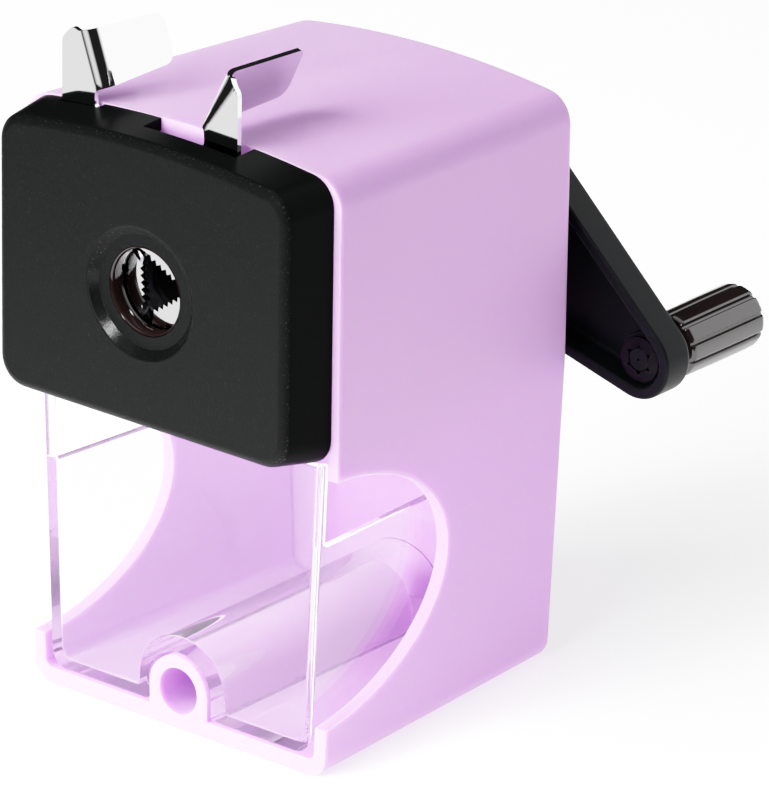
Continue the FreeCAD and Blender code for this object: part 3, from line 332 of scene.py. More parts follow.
def acetal():
    s = Shader("white_plastic")
    s.set(Base_Color=s.blend(s.noise(80, 3), (0.76, 0.75, 0.72), (0.82, 0.81, 0.79)),
          Roughness=s.ramp(s.noise(300, 2), 0.38, 0.5), Subsurface_Weight=0.1, Subsurface_Scale=0.002,
          Normal=s.bump(s.noise(1500, 2), 0.00001, 0.3))
    return s.material


def clear_plastic():
    """Polished clear styrene that bends what is seen through it and lets lamp and soft light straight through."""
    s = Shader("clear_plastic")
    wave = s.bump(s.noise(45, 1), 0.0002, 0.05)
    s.set(Base_Color=(0.985, 0.975, 0.99, 1), Roughness=s.ramp(s.noise(150, 2), 0.0, 0.035), IOR=1.49,
          Transmission_Weight=1.0, Normal=wave)
    path = s.add("ShaderNodeLightPath").outputs
    lamp = s.math("MAXIMUM", path["Is Shadow Ray"], path["Is Diffuse Ray"])
    lamp = s.math("MAXIMUM", lamp, s.math("GREATER_THAN", path["Ray Depth"], 3.5))
    through = s.add("ShaderNodeBsdfTransparent", Color=(0.985, 0.98, 0.99, 1))
    mix = s.tree.nodes.new("ShaderNodeMixShader")
    s.tree.links.new(lamp, mix.inputs[0])
    s.tree.links.new(s.surface.outputs[0], mix.inputs[1])
    s.tree.links.new(through.outputs[0], mix.inputs[2])
    s.tree.links.new(mix.outputs[0], s.output.inputs[0])
    return s.material


def floor_white():
    s = Shader("studio_floor")
    s.set(Base_Color=s.blend(s.noise(3, 2), (0.90, 0.90, 0.90), (0.92, 0.92, 0.92)), Roughness=0.75,
          Emission_Color=(1, 1, 1, 1), Emission_Strength=0.65)
    return s.material


MATERIALS = {
    "lilac_plastic": lilac_plastic(),
    "textured_black": textured_black(),
    "crank_black": plain_black("crank_black", (0.002, 0.0025, 0.003), 0.33, 0.00003,
                               (0.003, 0.0035, 0.0045), 0.08),
    "knob_black": plain_black("knob_black", (0.010, 0.006, 0.006), 0.07, 0.000004,
                              (0.014, 0.008, 0.008), 0.8),
    "gloss_brown_black": plain_black("gloss_brown_black", (0.006, 0.003, 0.003), 0.07, 0.000004,
                                     (0.010, 0.004, 0.004)),
    # near-black matte finish of the sleeve that paints shade into the mouth
    "shade_sleeve_black": plain_black("shade_sleeve_black", (0.003, 0.003, 0.003), 0.6, 0.00003,
                                (0.004, 0.004, 0.004), 0.1),
    "black_plastic": plain_black("black_plastic", (0.02, 0.02, 0.02), 0.45, 0.00003),
    "chromed_steel": chrome(),
    "dark_steel": worked_steel("dark_steel", (0.012, 0.012, 0.013), 0.35, (1, 1, 1)),
    "zinc_steel": worked_steel("zinc_steel", (0.62, 0.63, 0.66), 0.3, (1, 6, 1)),
    "spring_steel": worked_steel("spring_steel", (0.42, 0.42, 0.44), 0.28, (1, 1, 1)),
    "cutter_steel": worked_steel("cutter_steel", (0.34, 0.34, 0.36), 0.26, (6, 1, 6)),
    "cast_zinc": worked_steel("cast_zinc", (0.50, 0.50, 0.52), 0.42, (1, 1, 1)),
    "white_plastic": acetal(),
    "clear_plastic": clear_plastic(),
}


# ---------------------------------------------------------------- the drafted, domed section

def domed_loop(y, low, foot_half, kink, half, shoulder, crown, foot, top, inset=0.0):
    """Points round one cross-section: flat foot, kinked sides and a domed top; inset shrinks it all round."""
    low, foot_half, half = low + inset, foot_half - inset, half - inset
    shoulder, crown = shoulder - inset, crown - inset
    foot, top = max(foot - inset, 0.4), max(top - inset, 0.4)
    rise = crown - shoulder
    dome = (half * half + rise * rise) / (2 * rise)
    slope = Vector((half - foot_half, kink - low)).normalized()
    opening = math.pi - math.acos(slope.x)
    foot_centre = (foot_half - foot / math.tan(opening / 2), low + foot)
    corner_z = crown - dome + math.sqrt((dome - top) ** 2 - (half - top) ** 2)
    lean = math.degrees(math.atan2(corner_z - (crown - dome), half - top))
    right = arc(foot_centre, foot, -90, math.degrees(opening) - 90, 8)
    right.append((half, kink))
    right += arc((half - top, corner_z), top, 0, lean, 10)
    over = arc((0, crown - dome), dome, lean, 180 - lean, 24)[1:-1]
    left = [(-x, z) for x, z in reversed(right)]
    return [(x, y, z) for x, z in right + over + left]


def between(a, b, share):
    """The section a share of the way from one to another."""
    return [p + (q - p) * share for p, q in zip(a, b)]


# ---------------------------------------------------------------- housing

RIM_Y, BACK_Y = span("housing", 1)
HOUSING_FRONT = (0.0, 34.5, 59.0, 36.8, 114.3, 117.0, 4.0, 6.0)
HOUSING_BACK = (0.0, 30.7, 59.0, 33.2, 110.8, 113.5, 4.0, 6.0)
WALL, TOP_WALL, BASE_FLOOR = 2.4, 3.4, 3.2
TUBE_Z, TUBE_RADIUS, TUBE_BORE = 7.4, 6.8, 4.5
TUBE_FOOT, TUBE_END, BORE_END = 1.6, 21, 17
WINDOW_CENTRE, WINDOW_HALVES = (-40, 34), (39.8, 24.5)
BEYOND = 60
FRAME_SCREW_PLACES = [(x, z) for x in (-23, 23) for z in (70, 101)]


def hollowed(shape):
    """The inside section that goes with an outside one, less the walls."""
    foot_half, kink, half, shoulder, crown, foot, top = shape[1:]
    return (BASE_FLOOR, foot_half - WALL, kink, half - WALL, shoulder - TOP_WALL, crown - TOP_WALL,
            foot - WALL, top - WALL)


def housing():
    """The moulded shell with its elliptical side cut-outs, and the socket tube that stands on its floor."""
    depth = BACK_Y - RIM_Y
    bm = bmesh.new()
    loops = [loop_of(bm, domed_loop(RIM_Y, *HOUSING_FRONT))]
    for inset, setback in reversed(edge_rounding(2.2)):
        shape = between(HOUSING_FRONT, HOUSING_BACK, (depth - setback) / depth)
        loops.append(loop_of(bm, domed_loop(BACK_Y - setback, *shape, inset=inset)))
    inner = [loop_of(bm, domed_loop(y, *hollowed(between(HOUSING_FRONT, HOUSING_BACK, (y - RIM_Y) / depth))))
             for y in (BACK_Y - WALL, RIM_Y)]
    skin(bm, loops, cap_last=True)
    skin(bm, inner, cap_first=True)
    skin(bm, [inner[-1], loops[0]])
    shell = mesh_object("housing_shell", bm)
    (y, z), (deep, tall), count = WINDOW_CENTRE, WINDOW_HALVES, 112
    turns = [2 * math.pi * i / count for i in range(count)]
    window = [(y + deep * math.cos(t), z + tall * math.sin(t)) for t in turns]
    seats = [turned("seat", [(2.9, BACK_Y - 1.4), (2.9, BACK_Y + 2)], place, 40, closed=False)
             for place in FRAME_SCREW_PLACES]
    boolean(shell, [prism("window", window, -BEYOND, BEYOND, axis=0), *seats])
    walls = [(TUBE_RADIUS, TUBE_FOOT), *arc((0, TUBE_Z), TUBE_RADIUS, 0, 180, 40), (-TUBE_RADIUS, TUBE_FOOT)]
    boolean(shell, [prism("socket", walls, RIM_Y, TUBE_END)], "UNION")
    bore = turned("bore", [(TUBE_BORE, RIM_Y - 2), (TUBE_BORE, BORE_END)], (0, TUBE_Z), 64, closed=False)
    boolean(shell, [bore])
    bevelled(shell, 0.5, 4, 34)
    finished(shell, MATERIALS["lilac_plastic"], "body", ["housing"])


# ---------------------------------------------------------------- faceplate and mouth

PLATE_Y, PLATE_BACK = span("faceplate", 1)
PLATE_FRONT_SHAPE = (62.4, 33.55, AXIS_Z, 33.55, 113.6, 116.3, 5.5, 5.5)
PLATE_BACK_SHAPE = (60.6, 35.3, AXIS_Z, 35.3, 114.2, 116.9, 5.5, 5.5)
PLATE_WALL = 2.4
MOUTH = (0.0, AXIS_Z)


def shade_sleeve():
    """A black sleeve behind the jaws, with no CAD part under it, set there as painted shade to darken the view
    into the mouth: it moves with the carriage and stops short of the frame.
    """
    low, high = PLATE_Y + 10.5, span("mechanism_frame", 1)[0] - 2.4
    inner, outer, edge = 5.5, 7.0, 0.3
    wall = [(inner, low + edge), (inner + edge, low), (outer - edge, low), (outer, low + edge),
            (outer, high), (inner, high)]
    finished(turned("painted_shade_sleeve", wall, MOUTH, 64), MATERIALS["shade_sleeve_black"], "carriage")


def faceplate():
    """The black front, its rounded rim, the lever gaps and the stepped recess round the mouth."""
    depth = PLATE_BACK - PLATE_Y
    bm = bmesh.new()
    loops = []
    for inset, setback in edge_rounding(1.7, 7):
        shape = between(PLATE_FRONT_SHAPE, PLATE_BACK_SHAPE, setback / depth)
        loops.append(loop_of(bm, domed_loop(PLATE_Y + setback, *shape, inset=inset)))
    loops.append(loop_of(bm, domed_loop(PLATE_BACK, *PLATE_BACK_SHAPE)))
    inner = []
    for y in (PLATE_BACK, PLATE_Y + PLATE_WALL):
        shape = between(PLATE_FRONT_SHAPE, PLATE_BACK_SHAPE, (y - PLATE_Y) / depth)
        inner.append(loop_of(bm, domed_loop(y, *shape, inset=PLATE_WALL)))
    skin(bm, loops, cap_first=True)
    skin(bm, inner, cap_last=True)
    skin(bm, [loops[-1], inner[0]])
    plate = mesh_object("faceplate_shell", bm)
    boss = turned("boss", [(12.9, PLATE_Y + 1.8), (12.9, PLATE_Y + 3.5)], MOUTH, 96, closed=False)
    boolean(plate, [boss], "UNION")
    lip = [(12.15 + out, PLATE_Y + depth) for out, depth in ((0.55, -0.02), (0.25, 0.05), (0.06, 0.22))]
    recess = [(13.1, PLATE_Y - 1), *lip, (10.75, PLATE_Y + 1.5), (8.4, PLATE_Y + 1.5), (8.4, PLATE_Y + 6)]
    mouth = turned("mouth", [(0.01, PLATE_Y - 1), *recess, (0.01, PLATE_Y + 6)], MOUTH, 128, closed=False)
    notch = prism("notch", rounded_rectangle(-4.5, 16.9, 106, 120, 0.6, 3), PLATE_Y + 6, PLATE_BACK + 1)
    slot = prism("slot", rounded_rectangle(-27, -17.8, 106, 120, 0.5, 3), PLATE_Y + 9.1, PLATE_BACK + 1)
    boolean(plate, [mouth, notch, slot])
    bevelled(plate, 0.32, 3, 36)
    finished(plate, MATERIALS["textured_black"], "carriage", ["faceplate"])

    profile = [(8.36, 1.62), (8.2, 1.5), (8.0, 1.62), (7.86, 1.95), (7.74, 2.6), (7.7, 3.4), (7.7, 4.4),
               (7.9, 4.6), (11.4, 4.6), (11.6, 4.4), (11.6, 3.6), (8.38, 3.55)]
    bezel = turned("mouth_bezel", [(radius, PLATE_Y + depth) for radius, depth in profile], MOUTH, 128)
    finished(bezel, MATERIALS["gloss_brown_black"], "carriage", ["pencil_bezel"], 60)


# ---------------------------------------------------------------- levers and chuck sheets

FOLD_LOW, FOLD_HIGH = (17.9, 118.8), (22.0, 130.3)
LEVER_MIDDLE = -5.1
SHEET = 1.0
DISC_RADIUS, DISC_BORE = 15.3, 6.6
BACK_LAYER, RING_LAYER = 9.3, 7.2
JAW_PIVOT, JAW_START, JAW_STEP = (5.8, 10.6), 64, 120
SLOT_HALF, SLOT_SWEEP, SLOT_LEAD = 1.7, 37, 7.5


def rounded_outline(points, radii, count=5):
    """A closed outline with each corner turned into an arc of its own radius."""
    result = []
    for i, here in enumerate(points):
        here = Vector(here)
        back, ahead = Vector(points[i - 1]) - here, Vector(points[(i + 1) % len(points)]) - here
        half = back.angle(ahead) / 2
        reach = min(radii[i] / math.tan(half), 0.48 * back.length, 0.48 * ahead.length)
        first, last = here + back.normalized() * reach, here + ahead.normalized() * reach
        size = reach * math.tan(half)
        middle = here + (back.normalized() + ahead.normalized()).normalized() * size / math.sin(half)
        for k in range(count + 1):
            point = first.lerp(last, k / count) - middle
            result.append(tuple(middle + point.normalized() * size))
    return result


def lever_sheet(name, mirror, layer_y, body):
    """A chromed lever: its tab in the chuck's plane, then a finger pad folded back along a slanted line."""
    fold = Vector((FOLD_HIGH[0] - FOLD_LOW[0], FOLD_HIGH[1] - FOLD_LOW[1]))
    along = fold.normalized()
    inward = Vector((-along.y, along.x))
    bend, widening = (2.4, 0.0) if mirror else (1.0, 0.34)
    arc_length = bend * math.pi / 2
    start = Vector(FOLD_LOW) + Vector((SHEET, 0))
    height = fold.length
    tab = [(8.0, 96.0), (20.5, 96.0), (26.5, 108.0), (26.5, 127.2), (24.2, 129.8)]
    pad_far = (18.5 if mirror else 22.0) - bend + arc_length
    pad = [start + along * (height - 1.15), start + along * (height - 2.6) + inward * pad_far,
           start + along * 0.3 + inward * pad_far, start + inward * 0.2]
    neck = [(18.8, 116.3)]
    points = tab + [tuple(p) for p in pad] + neck
    radii = [0.6, 3.0, 3.0, 2.2, 1.6, 0.8, 2.2 if mirror else 1.2, 2.4, 1.0, 1.0]
    outline = rounded_outline(points, radii)
    bm = bmesh.new()
    bm.faces.new(loop_of(bm, [(x, 0, z) for x, z in outline]))
    reach = widening * height
    cuts = [(inward, -reach + (arc_length + 2 * reach) * k / 20) for k in range(21)]
    cuts += [(along, height * k / 10) for k in range(1, 10)]
    for direction, distance in cuts:
        offset = start + direction * distance
        bmesh.ops.bisect_plane(bm, geom=bm.verts[:] + bm.edges[:] + bm.faces[:],
                               plane_co=(offset.x, 0, offset.y), plane_no=(direction.x, 0, direction.y))
    for vert in bm.verts:
        flat = Vector((vert.co.x, vert.co.z)) - start
        out, up = flat.dot(inward), flat.dot(along)
        extra = widening * min(max(up, 0), height)
        radius, past = bend + extra, out + extra
        if past > 0:
            turn = min(past / radius, math.pi / 2)
            sideways, backwards = radius * math.sin(turn) - extra, radius * (1 - math.cos(turn))
            backwards += max(past - radius * math.pi / 2, 0)
            place = start + along * up + inward * sideways
            vert.co = (place.x, backwards, place.y)
    sign = -1 if mirror else 1
    shift = 0 if mirror else 2 * LEVER_MIDDLE
    for vert in bm.verts:
        vert.co = (sign * vert.co.x + shift, vert.co.y + layer_y, vert.co.z)
    obj = mesh_object(name, bm)
    solidify = obj.modifiers.new("Thickness", "SOLIDIFY")
    solidify.thickness = SHEET
    solidify.offset = 0
    applied(obj)
    bevelled(obj, 0.22, 3, 40)
    finished(obj, MATERIALS["chromed_steel"], body, smooth=50)


def pressed_disc(name, layer_y, extras, tools, body, replaces):
    """A flat chuck sheet: a round disc joined to its ears or tabs, then cut by the tools."""
    disc = turned(name, [(DISC_RADIUS, layer_y), (DISC_RADIUS, layer_y + SHEET)], MOUTH, 96, closed=False)
    boolean(disc, [prism("extra", points, layer_y, layer_y + SHEET) for points in extras], "UNION")
    boolean(disc, tools)
    bevelled(disc, 0.15, 2, 40)
    finished(disc, MATERIALS["chromed_steel"], body, replaces)


def sheet_hole(layer_y, centre, radius, count=40):
    """A tool for a round hole right through a chuck sheet."""
    return turned("hole", [(radius, layer_y - 1), (radius, layer_y + 2)], centre, count, closed=False)


def jaw_pivot(index):
    """Where a jaw turns, as (x, z)."""
    turn = math.radians(JAW_START + JAW_STEP * index)
    u, v = JAW_PIVOT
    return (u * math.cos(turn) - v * math.sin(turn), AXIS_Z + u * math.sin(turn) + v * math.cos(turn))


def chuck():
    """The chuck's two sheets, the swing slots in the turning one, and their levers."""
    back_y = PLATE_Y + BACK_LAYER
    ring_y = PLATE_Y + RING_LAYER
    ears = rounded_rectangle(-24.1, 24.1, AXIS_Z - 9.8, AXIS_Z - 2.2, 2.6)
    left_tab = rounded_rectangle(-7.1, -5.2, AXIS_Z - 19.4, AXIS_Z - 12, 0.5)
    right_tab = rounded_rectangle(5.2, 7.1, AXIS_Z - 19.4, AXIS_Z - 12, 0.5)
    holes = [(MOUTH, DISC_BORE), ((-20.3, AXIS_Z - 6), 1.4), ((20.3, AXIS_Z - 6), 1.4)]
    holes += [(jaw_pivot(i), 1.24) for i in range(3)]
    tools = [sheet_hole(back_y, centre, radius) for centre, radius in holes]
    pressed_disc("chuck_back_sheet", back_y, [ears, left_tab], tools, "carriage", ["chuck_plate"])
    u, v = JAW_PIVOT
    reach, middle = math.hypot(u, v), math.degrees(math.atan2(v, u))
    tools = [sheet_hole(ring_y, MOUTH, DISC_BORE, 64)]
    for i in range(3):
        end = middle + JAW_START + JAW_STEP * i + SLOT_LEAD
        outer = arc(MOUTH, reach + SLOT_HALF, end - SLOT_SWEEP, end, 12)
        inner = arc(MOUTH, reach - SLOT_HALF, end, end - SLOT_SWEEP, 12)
        tools.append(prism("swing", outer + inner, ring_y - 1, ring_y + 2))
    pressed_disc("chuck_ring_sheet", ring_y, [right_tab], tools, "chuck", ["chuck_ring"])
    lever_sheet("lever_left", True, back_y + SHEET / 2, "carriage")
    lever_sheet("lever_right", False, ring_y + SHEET / 2, "chuck")


# ---------------------------------------------------------------- shavings drawer

BIN_Y, BIN_END = span("shavings_bin", 1)
BIN_LOW = span("shavings_bin", 2)[0]


def drawer_outline(low_half, high_half, top, floor, arch, corner):
    """A drawer's cross-section: walls, rounded bottom corners, floor, and an arch over the socket tube."""
    slope = (high_half - low_half) / (top - BIN_LOW)
    right = [(high_half, top), (low_half + slope * corner, floor + corner)]
    right += arc((low_half - corner, floor + corner), corner, 0, -90, 8)[1:]
    right += [(arch + 0.8, floor), *arc((arch + 0.8, floor + 0.8), 0.8, -90, -180, 4)[1:-1]]
    right += arc((0, TUBE_Z), arch, 0, 90, 20)
    left = [(-x, z) for x, z in reversed(right[:-1])]
    return right + left


def shavings_drawer():
    """The clear drawer with a tall front, low sides, and a tunnel that slides over the socket tube."""
    def solid(name, front, back, y0, y1):
        bm = bmesh.new()
        loops = [loop_of(bm, [(x, y, z) for x, z in outline]) for outline, y in ((front, y0), (back, y1))]
        skin(bm, loops, cap_first=True, cap_last=True)
        return mesh_object(name, bm)

    wall, front_wall, tunnel = 1.6, 2.4, 10.1
    floor, top = BIN_LOW + wall, 60.1
    front_low, front_high, back_low, back_high = 30.7, 32.9, 26.7, 29.3
    side_front, side_back, over, cut_end = 44, 42.6, 66, BIN_END + 2
    outside = solid("drawer", drawer_outline(front_low, front_high, top, BIN_LOW, 7.3, 3.4),
                    drawer_outline(back_low, back_high, top, BIN_LOW, 7.3, 3.4), BIN_Y, BIN_END)
    hollow = solid("hollow", drawer_outline(front_low - wall, front_high - wall, 64, floor, tunnel, 2.4),
                   drawer_outline(back_low - wall, back_high - wall, 64, floor, tunnel, 2.4),
                   BIN_Y + wall, BIN_END - wall)
    above = [(BIN_Y + front_wall, side_front), (cut_end, side_back), (cut_end, over), (BIN_Y + front_wall, over)]
    boolean(outside, [hollow, prism("above", above, -BEYOND, BEYOND, axis=0)])
    bevelled(outside, 0.4, 3, 40)
    finished(outside, MATERIALS["clear_plastic"], "bin", ["shavings_bin"])


# ---------------------------------------------------------------- crank and knob

CRANK_ANGLE = math.radians(29.75)
CRANK_LENGTH = 52.5
KNOB_CENTRE = (CRANK_LENGTH * math.cos(CRANK_ANGLE), AXIS_Z - CRANK_LENGTH * math.sin(CRANK_ANGLE))
CRANK_BACK = 46.5
ARM_FRONT = 39.1


def arm_loop(y, inset):
    """The arm's outline, two arcs and their common tangents, drawn in towards itself by an inset."""
    hub, end = 20.3 - inset, 7.4 - inset
    lift = 90 - math.degrees(math.asin((hub - end) / CRANK_LENGTH))
    local = arc((0, 0), hub, lift, 360 - lift, 56) + arc((CRANK_LENGTH, 0), end, -lift, lift, 28)
    cos, sin = math.cos(CRANK_ANGLE), math.sin(CRANK_ANGLE)
    return [(u * cos + v * sin, y, AXIS_Z - u * sin + v * cos) for u, v in local]


def crank_arm():
    """The tapered arm: rounded back edge, recess towards the housing, hub and end bosses."""
    bm = bmesh.new()
    levels = [(ARM_FRONT, 0.55), (ARM_FRONT + 0.16, 0.16), (ARM_FRONT + 0.55, 0)]
    levels += [(CRANK_BACK - setback, inset) for inset, setback in reversed(edge_rounding(1.5))]
    outside = [loop_of(bm, arm_loop(y, inset)) for y, inset in levels]
    hollow = [(CRANK_BACK - 2.0, 3.3), (CRANK_BACK - 2.3, 2.7), (CRANK_BACK - 2.9, 2.5),
              (ARM_FRONT + 0.5, 2.3), (ARM_FRONT + 0.1, 2.1), (ARM_FRONT, 1.8)]
    inside = [loop_of(bm, arm_loop(y, inset)) for y, inset in hollow]
    skin(bm, outside, cap_last=True)
    skin(bm, inside, cap_first=True)
    skin(bm, [inside[-1], outside[0]])
    arm = mesh_object("crank_arm_shell", bm)
    finished(arm, MATERIALS["crank_black"], "crank", ["crank_arm"], 50)
    hub = [(4.02, 37.5), (4.3, 37.2), (7.2, 37.2), (7.5, 37.5), (7.7, 44.7), (4.02, 44.7)]
    hub_boss = turned("crank_hub_boss", hub, MOUTH, 72)
    finished(hub_boss, MATERIALS["crank_black"], "crank")
    end = [(3.05, 41.6), (3.3, 41.3), (4.75, 41.3), (5.0, 41.55), (5.1, 44.7), (3.05, 44.7)]
    end_boss = turned("crank_end_boss", end, KNOB_CENTRE, 64)
    finished(end_boss, MATERIALS["crank_black"], "crank")


def knob():
    """The glossy ribbed handle, its neck, and its end face."""
    ribs = 10
    count = ribs * 16
    groove_half, groove_slope, flatness = 0.085, 0.055, 0.45
    x0, z0 = KNOB_CENTRE

    def ribbed(y, radius, depth):
        points = []
        for i in range(count):
            turn = 2 * math.pi * i / count
            place = (turn * ribs / (2 * math.pi)) % 1.0
            from_groove = min(place, 1 - place)
            dip = 1 - min(max((from_groove - groove_half) / groove_slope, 0), 1)
            flat = math.cos(math.pi / ribs) / math.cos((place - 0.5) * 2 * math.pi / ribs)
            reach = radius * (flatness * flat + (1 - flatness)) - depth * dip * dip * (3 - 2 * dip)
            points.append((x0 + reach * math.sin(turn), y, z0 + reach * math.cos(turn)))
        return points

    bm = bmesh.new()
    levels = [(46.9, 3.1, 0), (46.8, 4.2, 0), (47.0, 4.6, 0), (48.2, 4.65, 0), (48.5, 5.0, 0.05),
              (48.75, 5.7, 0.3), (49.1, 6.1, 0.62), (49.6, 6.3, 0.72), (60, 6.42, 0.74), (69.0, 6.42, 0.74),
              (69.7, 6.25, 0.66), (70.1, 5.9, 0.4), (70.28, 5.3, 0.1), (70.3, 4.9, 0), (70.05, 4.5, 0),
              (70.0, 3.0, 0), (70.05, 0.6, 0)]
    loops = [loop_of(bm, ribbed(y, radius, depth)) for y, radius, depth in levels]
    skin(bm, loops, cap_first=True, cap_last=True)
    grip = mesh_object("knob_grip", bm)
    finished(grip, MATERIALS["knob_black"], "knob", ["knob"], 42)
    stem = [(3.0, 47.2), (3.0, 41.2), (2.8, 41.0), (2.2, 40.95), (2.2, 40.1), (2.0, 39.9),
            (0.3, 39.9), (0.3, 47.2)]
    pin = turned("knob_stem", stem, KNOB_CENTRE, 48)
    finished(pin, MATERIALS["crank_black"], "knob")


def star_clip():
    """The push-on clip on the stem: a ring with bent-up teeth."""
    bm = bmesh.new()
    teeth = 6
    count = teeth * 12
    x0, z0 = KNOB_CENTRE

    def ring(y, radius, notch):
        points = []
        for i in range(count):
            turn = 2 * math.pi * i / count
            wave = max(0.0, math.cos(teeth * turn)) ** 3
            reach = radius + notch * wave
            points.append((x0 + reach * math.sin(turn), y, z0 + reach * math.cos(turn)))
        return points

    levels = [(40.62, 4.3, 0), (40.42, 4.4, 0), (40.22, 4.3, 0), (40.1, 3.3, 0), (39.95, 2.3, 0.7),
              (40.2, 2.25, 0.7), (40.5, 3.2, 0), (40.62, 4.1, 0)]
    loops = [loop_of(bm, ring(*level)) for level in levels]
    skin(bm, loops, closed=True)
    clip = mesh_object("stem_star_clip", bm)
    finished(clip, MATERIALS["dark_steel"], "knob", ["knob_clip"], 50)


def cross_screw(name, head_radius, face_y, thickness, centre, body, material, replaces=()):
    """A domed screw head with a cross recess, its face towards +Y."""
    steps = 6
    dome = [(head_radius * math.sin(math.pi / 2 * i / steps) + 0.01,
             face_y - thickness * 0.62 * (1 - math.cos(math.pi / 2 * i / steps))) for i in range(steps + 1)]
    profile = dome + [(head_radius, face_y - thickness), (0.01, face_y - thickness)]
    head = turned(name, profile, centre, 48, closed=False)
    x, z = centre
    arm, half = head_radius * 0.52, head_radius * 0.11
    cross = [rounded_rectangle(x - wide, x + wide, z - high, z + high, half * 0.5, 2)
             for wide, high in ((arm, half), (half, arm))]
    boolean(head, [prism("recess", outline, face_y - 0.9, face_y + 1) for outline in cross])
    finished(head, MATERIALS[material], body, replaces, 35)


def screws():
    crank_head_y = span("crank_screw", 1)[1]
    cross_screw("crank_screw_head", 4.6, crank_head_y, 2.2, MOUTH, "crank", "chromed_steel", ["crank_screw"])
    frame_head_y = span("frame_screws", 1)[1]
    for i, centre in enumerate(FRAME_SCREW_PLACES):
        replaced = ["frame_screws"] if i == 0 else ()
        cross_screw(f"frame_screw_{i + 1}", 2.75, frame_head_y, 1.1, centre, "body", "zinc_steel", replaced)


# ---------------------------------------------------------------- springs and cutter

def spring(name, centre, axis, start, end, radius, wire, turns):
    """A round-wire helical spring along an axis, with closed ends."""
    bm = bmesh.new()
    steps, sides = int(turns * 28), 8
    closed, open_share = 0.09, 0.82
    side_axis = Vector((1, 0, 0)) if axis.y else Vector((0, 0, 1))
    other = axis.cross(side_axis)
    loops = []
    for i in range(steps + 1):
        share = i / steps
        turn = 2 * math.pi * turns * share
        spread = min(max((share - closed) / open_share, 0), 1)
        along = start + 2 * wire + (end - start - 4 * wire) * spread
        ends = (share - spread) * 4 * wire
        out = side_axis * math.cos(turn) + other * math.sin(turn)
        middle = Vector(centre) + axis * (along + ends) + out * radius
        ring = [middle + (out * math.cos(a) + axis * math.sin(a)) * wire
                for a in (2 * math.pi * k / sides for k in range(sides))]
        loops.append(loop_of(bm, ring))
    skin(bm, loops, cap_first=True, cap_last=True)
    obj = mesh_object(name, bm)
    mesh = obj.data
    mesh.transform(Matrix.Scale(MM, 4))
    for polygon in mesh.polygons:
        polygon.use_smooth = True
    mesh.materials.append(MATERIALS["spring_steel"])
    return obj


def springs():
    low_y, high_y = span("feed_spring_left", 1)
    rod_x, rod_z = 25.5, 72
    for side, x in (("left", -rod_x), ("right", rod_x)):
        coil = spring(f"feed_coil_{side}", (x, 0, rod_z), Vector((0, 1, 0)), low_y, high_y, 3.0, 0.3, 9)
        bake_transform(coil)
        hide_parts(f"feed_spring_{side}")
    low_x, high_x = span("chuck_spring", 0)
    middle_y, middle_z = (sum(span("chuck_spring", axis)) / 2 for axis in (1, 2))
    centre = (0, middle_y, middle_z)
    coil = spring("chuck_coil", centre, Vector((1, 0, 0)), low_x, high_x, 1.15, 0.2, 10)
    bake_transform(coil)
    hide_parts("chuck_spring")


def cutter():
    """The helical milling cutter on its tilted pin."""
    tilt = math.radians(10.5)
    axis = Vector((0, math.cos(tilt), -math.sin(tilt)))
    up = Vector((0, math.sin(tilt), math.cos(tilt)))
    centre, across = Vector((0, 0, AXIS_Z + 9.02)), Vector((1, 0, 0))
    teeth, per_tooth = 18, 8
    count = teeth * per_tooth
    profile = (-0.75, -0.55, -0.3, -0.1, 0.0, -0.02, -0.35, -0.7)

    def ring(along, radius, cut):
        twist = math.radians(2.6 * along)
        points = []
        for i in range(count):
            turn = 2 * math.pi * i / count + twist
            reach = radius + cut * profile[i % per_tooth]
            points.append(centre + axis * along + (across * math.cos(turn) + up * math.sin(turn)) * reach)
        return points

    bm = bmesh.new()
    levels = [(-9.5, 5.5, 0.3), (-9.2, 6.2, 0.8)] + [(-8.8 + i * 1.1, 6.48, 1.0) for i in range(17)]
    levels += [(9.2, 6.2, 0.8), (9.5, 5.5, 0.3), (9.6, 3.2, 0), (18.3, 3.2, 0)]
    outside = [loop_of(bm, ring(*level)) for level in levels]
    bore = [loop_of(bm, ring(along, 2.06, 0)) for along in (18.3, -9.5)]
    skin(bm, outside + bore, closed=True)
    obj = mesh_object("helical_cutter", bm)
    finished(obj, MATERIALS["cutter_steel"], "cutter", ["cutter"], 30)


# ---------------------------------------------------------------- the CAD nodes that stay

def dress_cad_nodes():
    """Gives each shown CAD node its procedural finish and a small edge radius."""
    slots = {entry["node"]: entry["material_slot"] for entry in frame["record"]["subparts"]}
    fine = {"ring_gear", "cutter_pinion", "jaw_1", "jaw_2", "jaw_3", "cutter_clip"}
    for name, obj in nodes.items():
        obj.data.materials.clear()
        obj.data.materials.append(MATERIALS[slots[name]])
        modifier = obj.modifiers.new("Bevel", "BEVEL")
        modifier.width = (0.08 if name in fine else 0.2) * MM
        modifier.segments = 2
        modifier.limit_method = "ANGLE"
        modifier.angle_limit = math.radians(40)


# ---------------------------------------------------------------- studio

SOFT_LIGHT = 0.48
BACKDROP = 3.0
FILM_WHITE = 2.0
FRAME_WIDTH, FOCAL_PIXELS, SENSOR_WIDTH = 769, 8056, 36


def area_light(name, at, aim, size, power, mirrored=True):
    data = bpy.data.lights.new(name, "AREA")
    data.shape = "RECTANGLE"
    data.size, data.size_y = size
    data.energy = power
    light = bpy.data.objects.new(name, data)
    light.location = at
    light.visible_glossy = mirrored
    light.visible_transmission = mirrored
    light.visible_camera = False
    light.rotation_euler = (Vector(aim) - Vector(at)).to_track_quat("-Z", "Y").to_euler()
    bpy.context.scene.collection.objects.link(light)


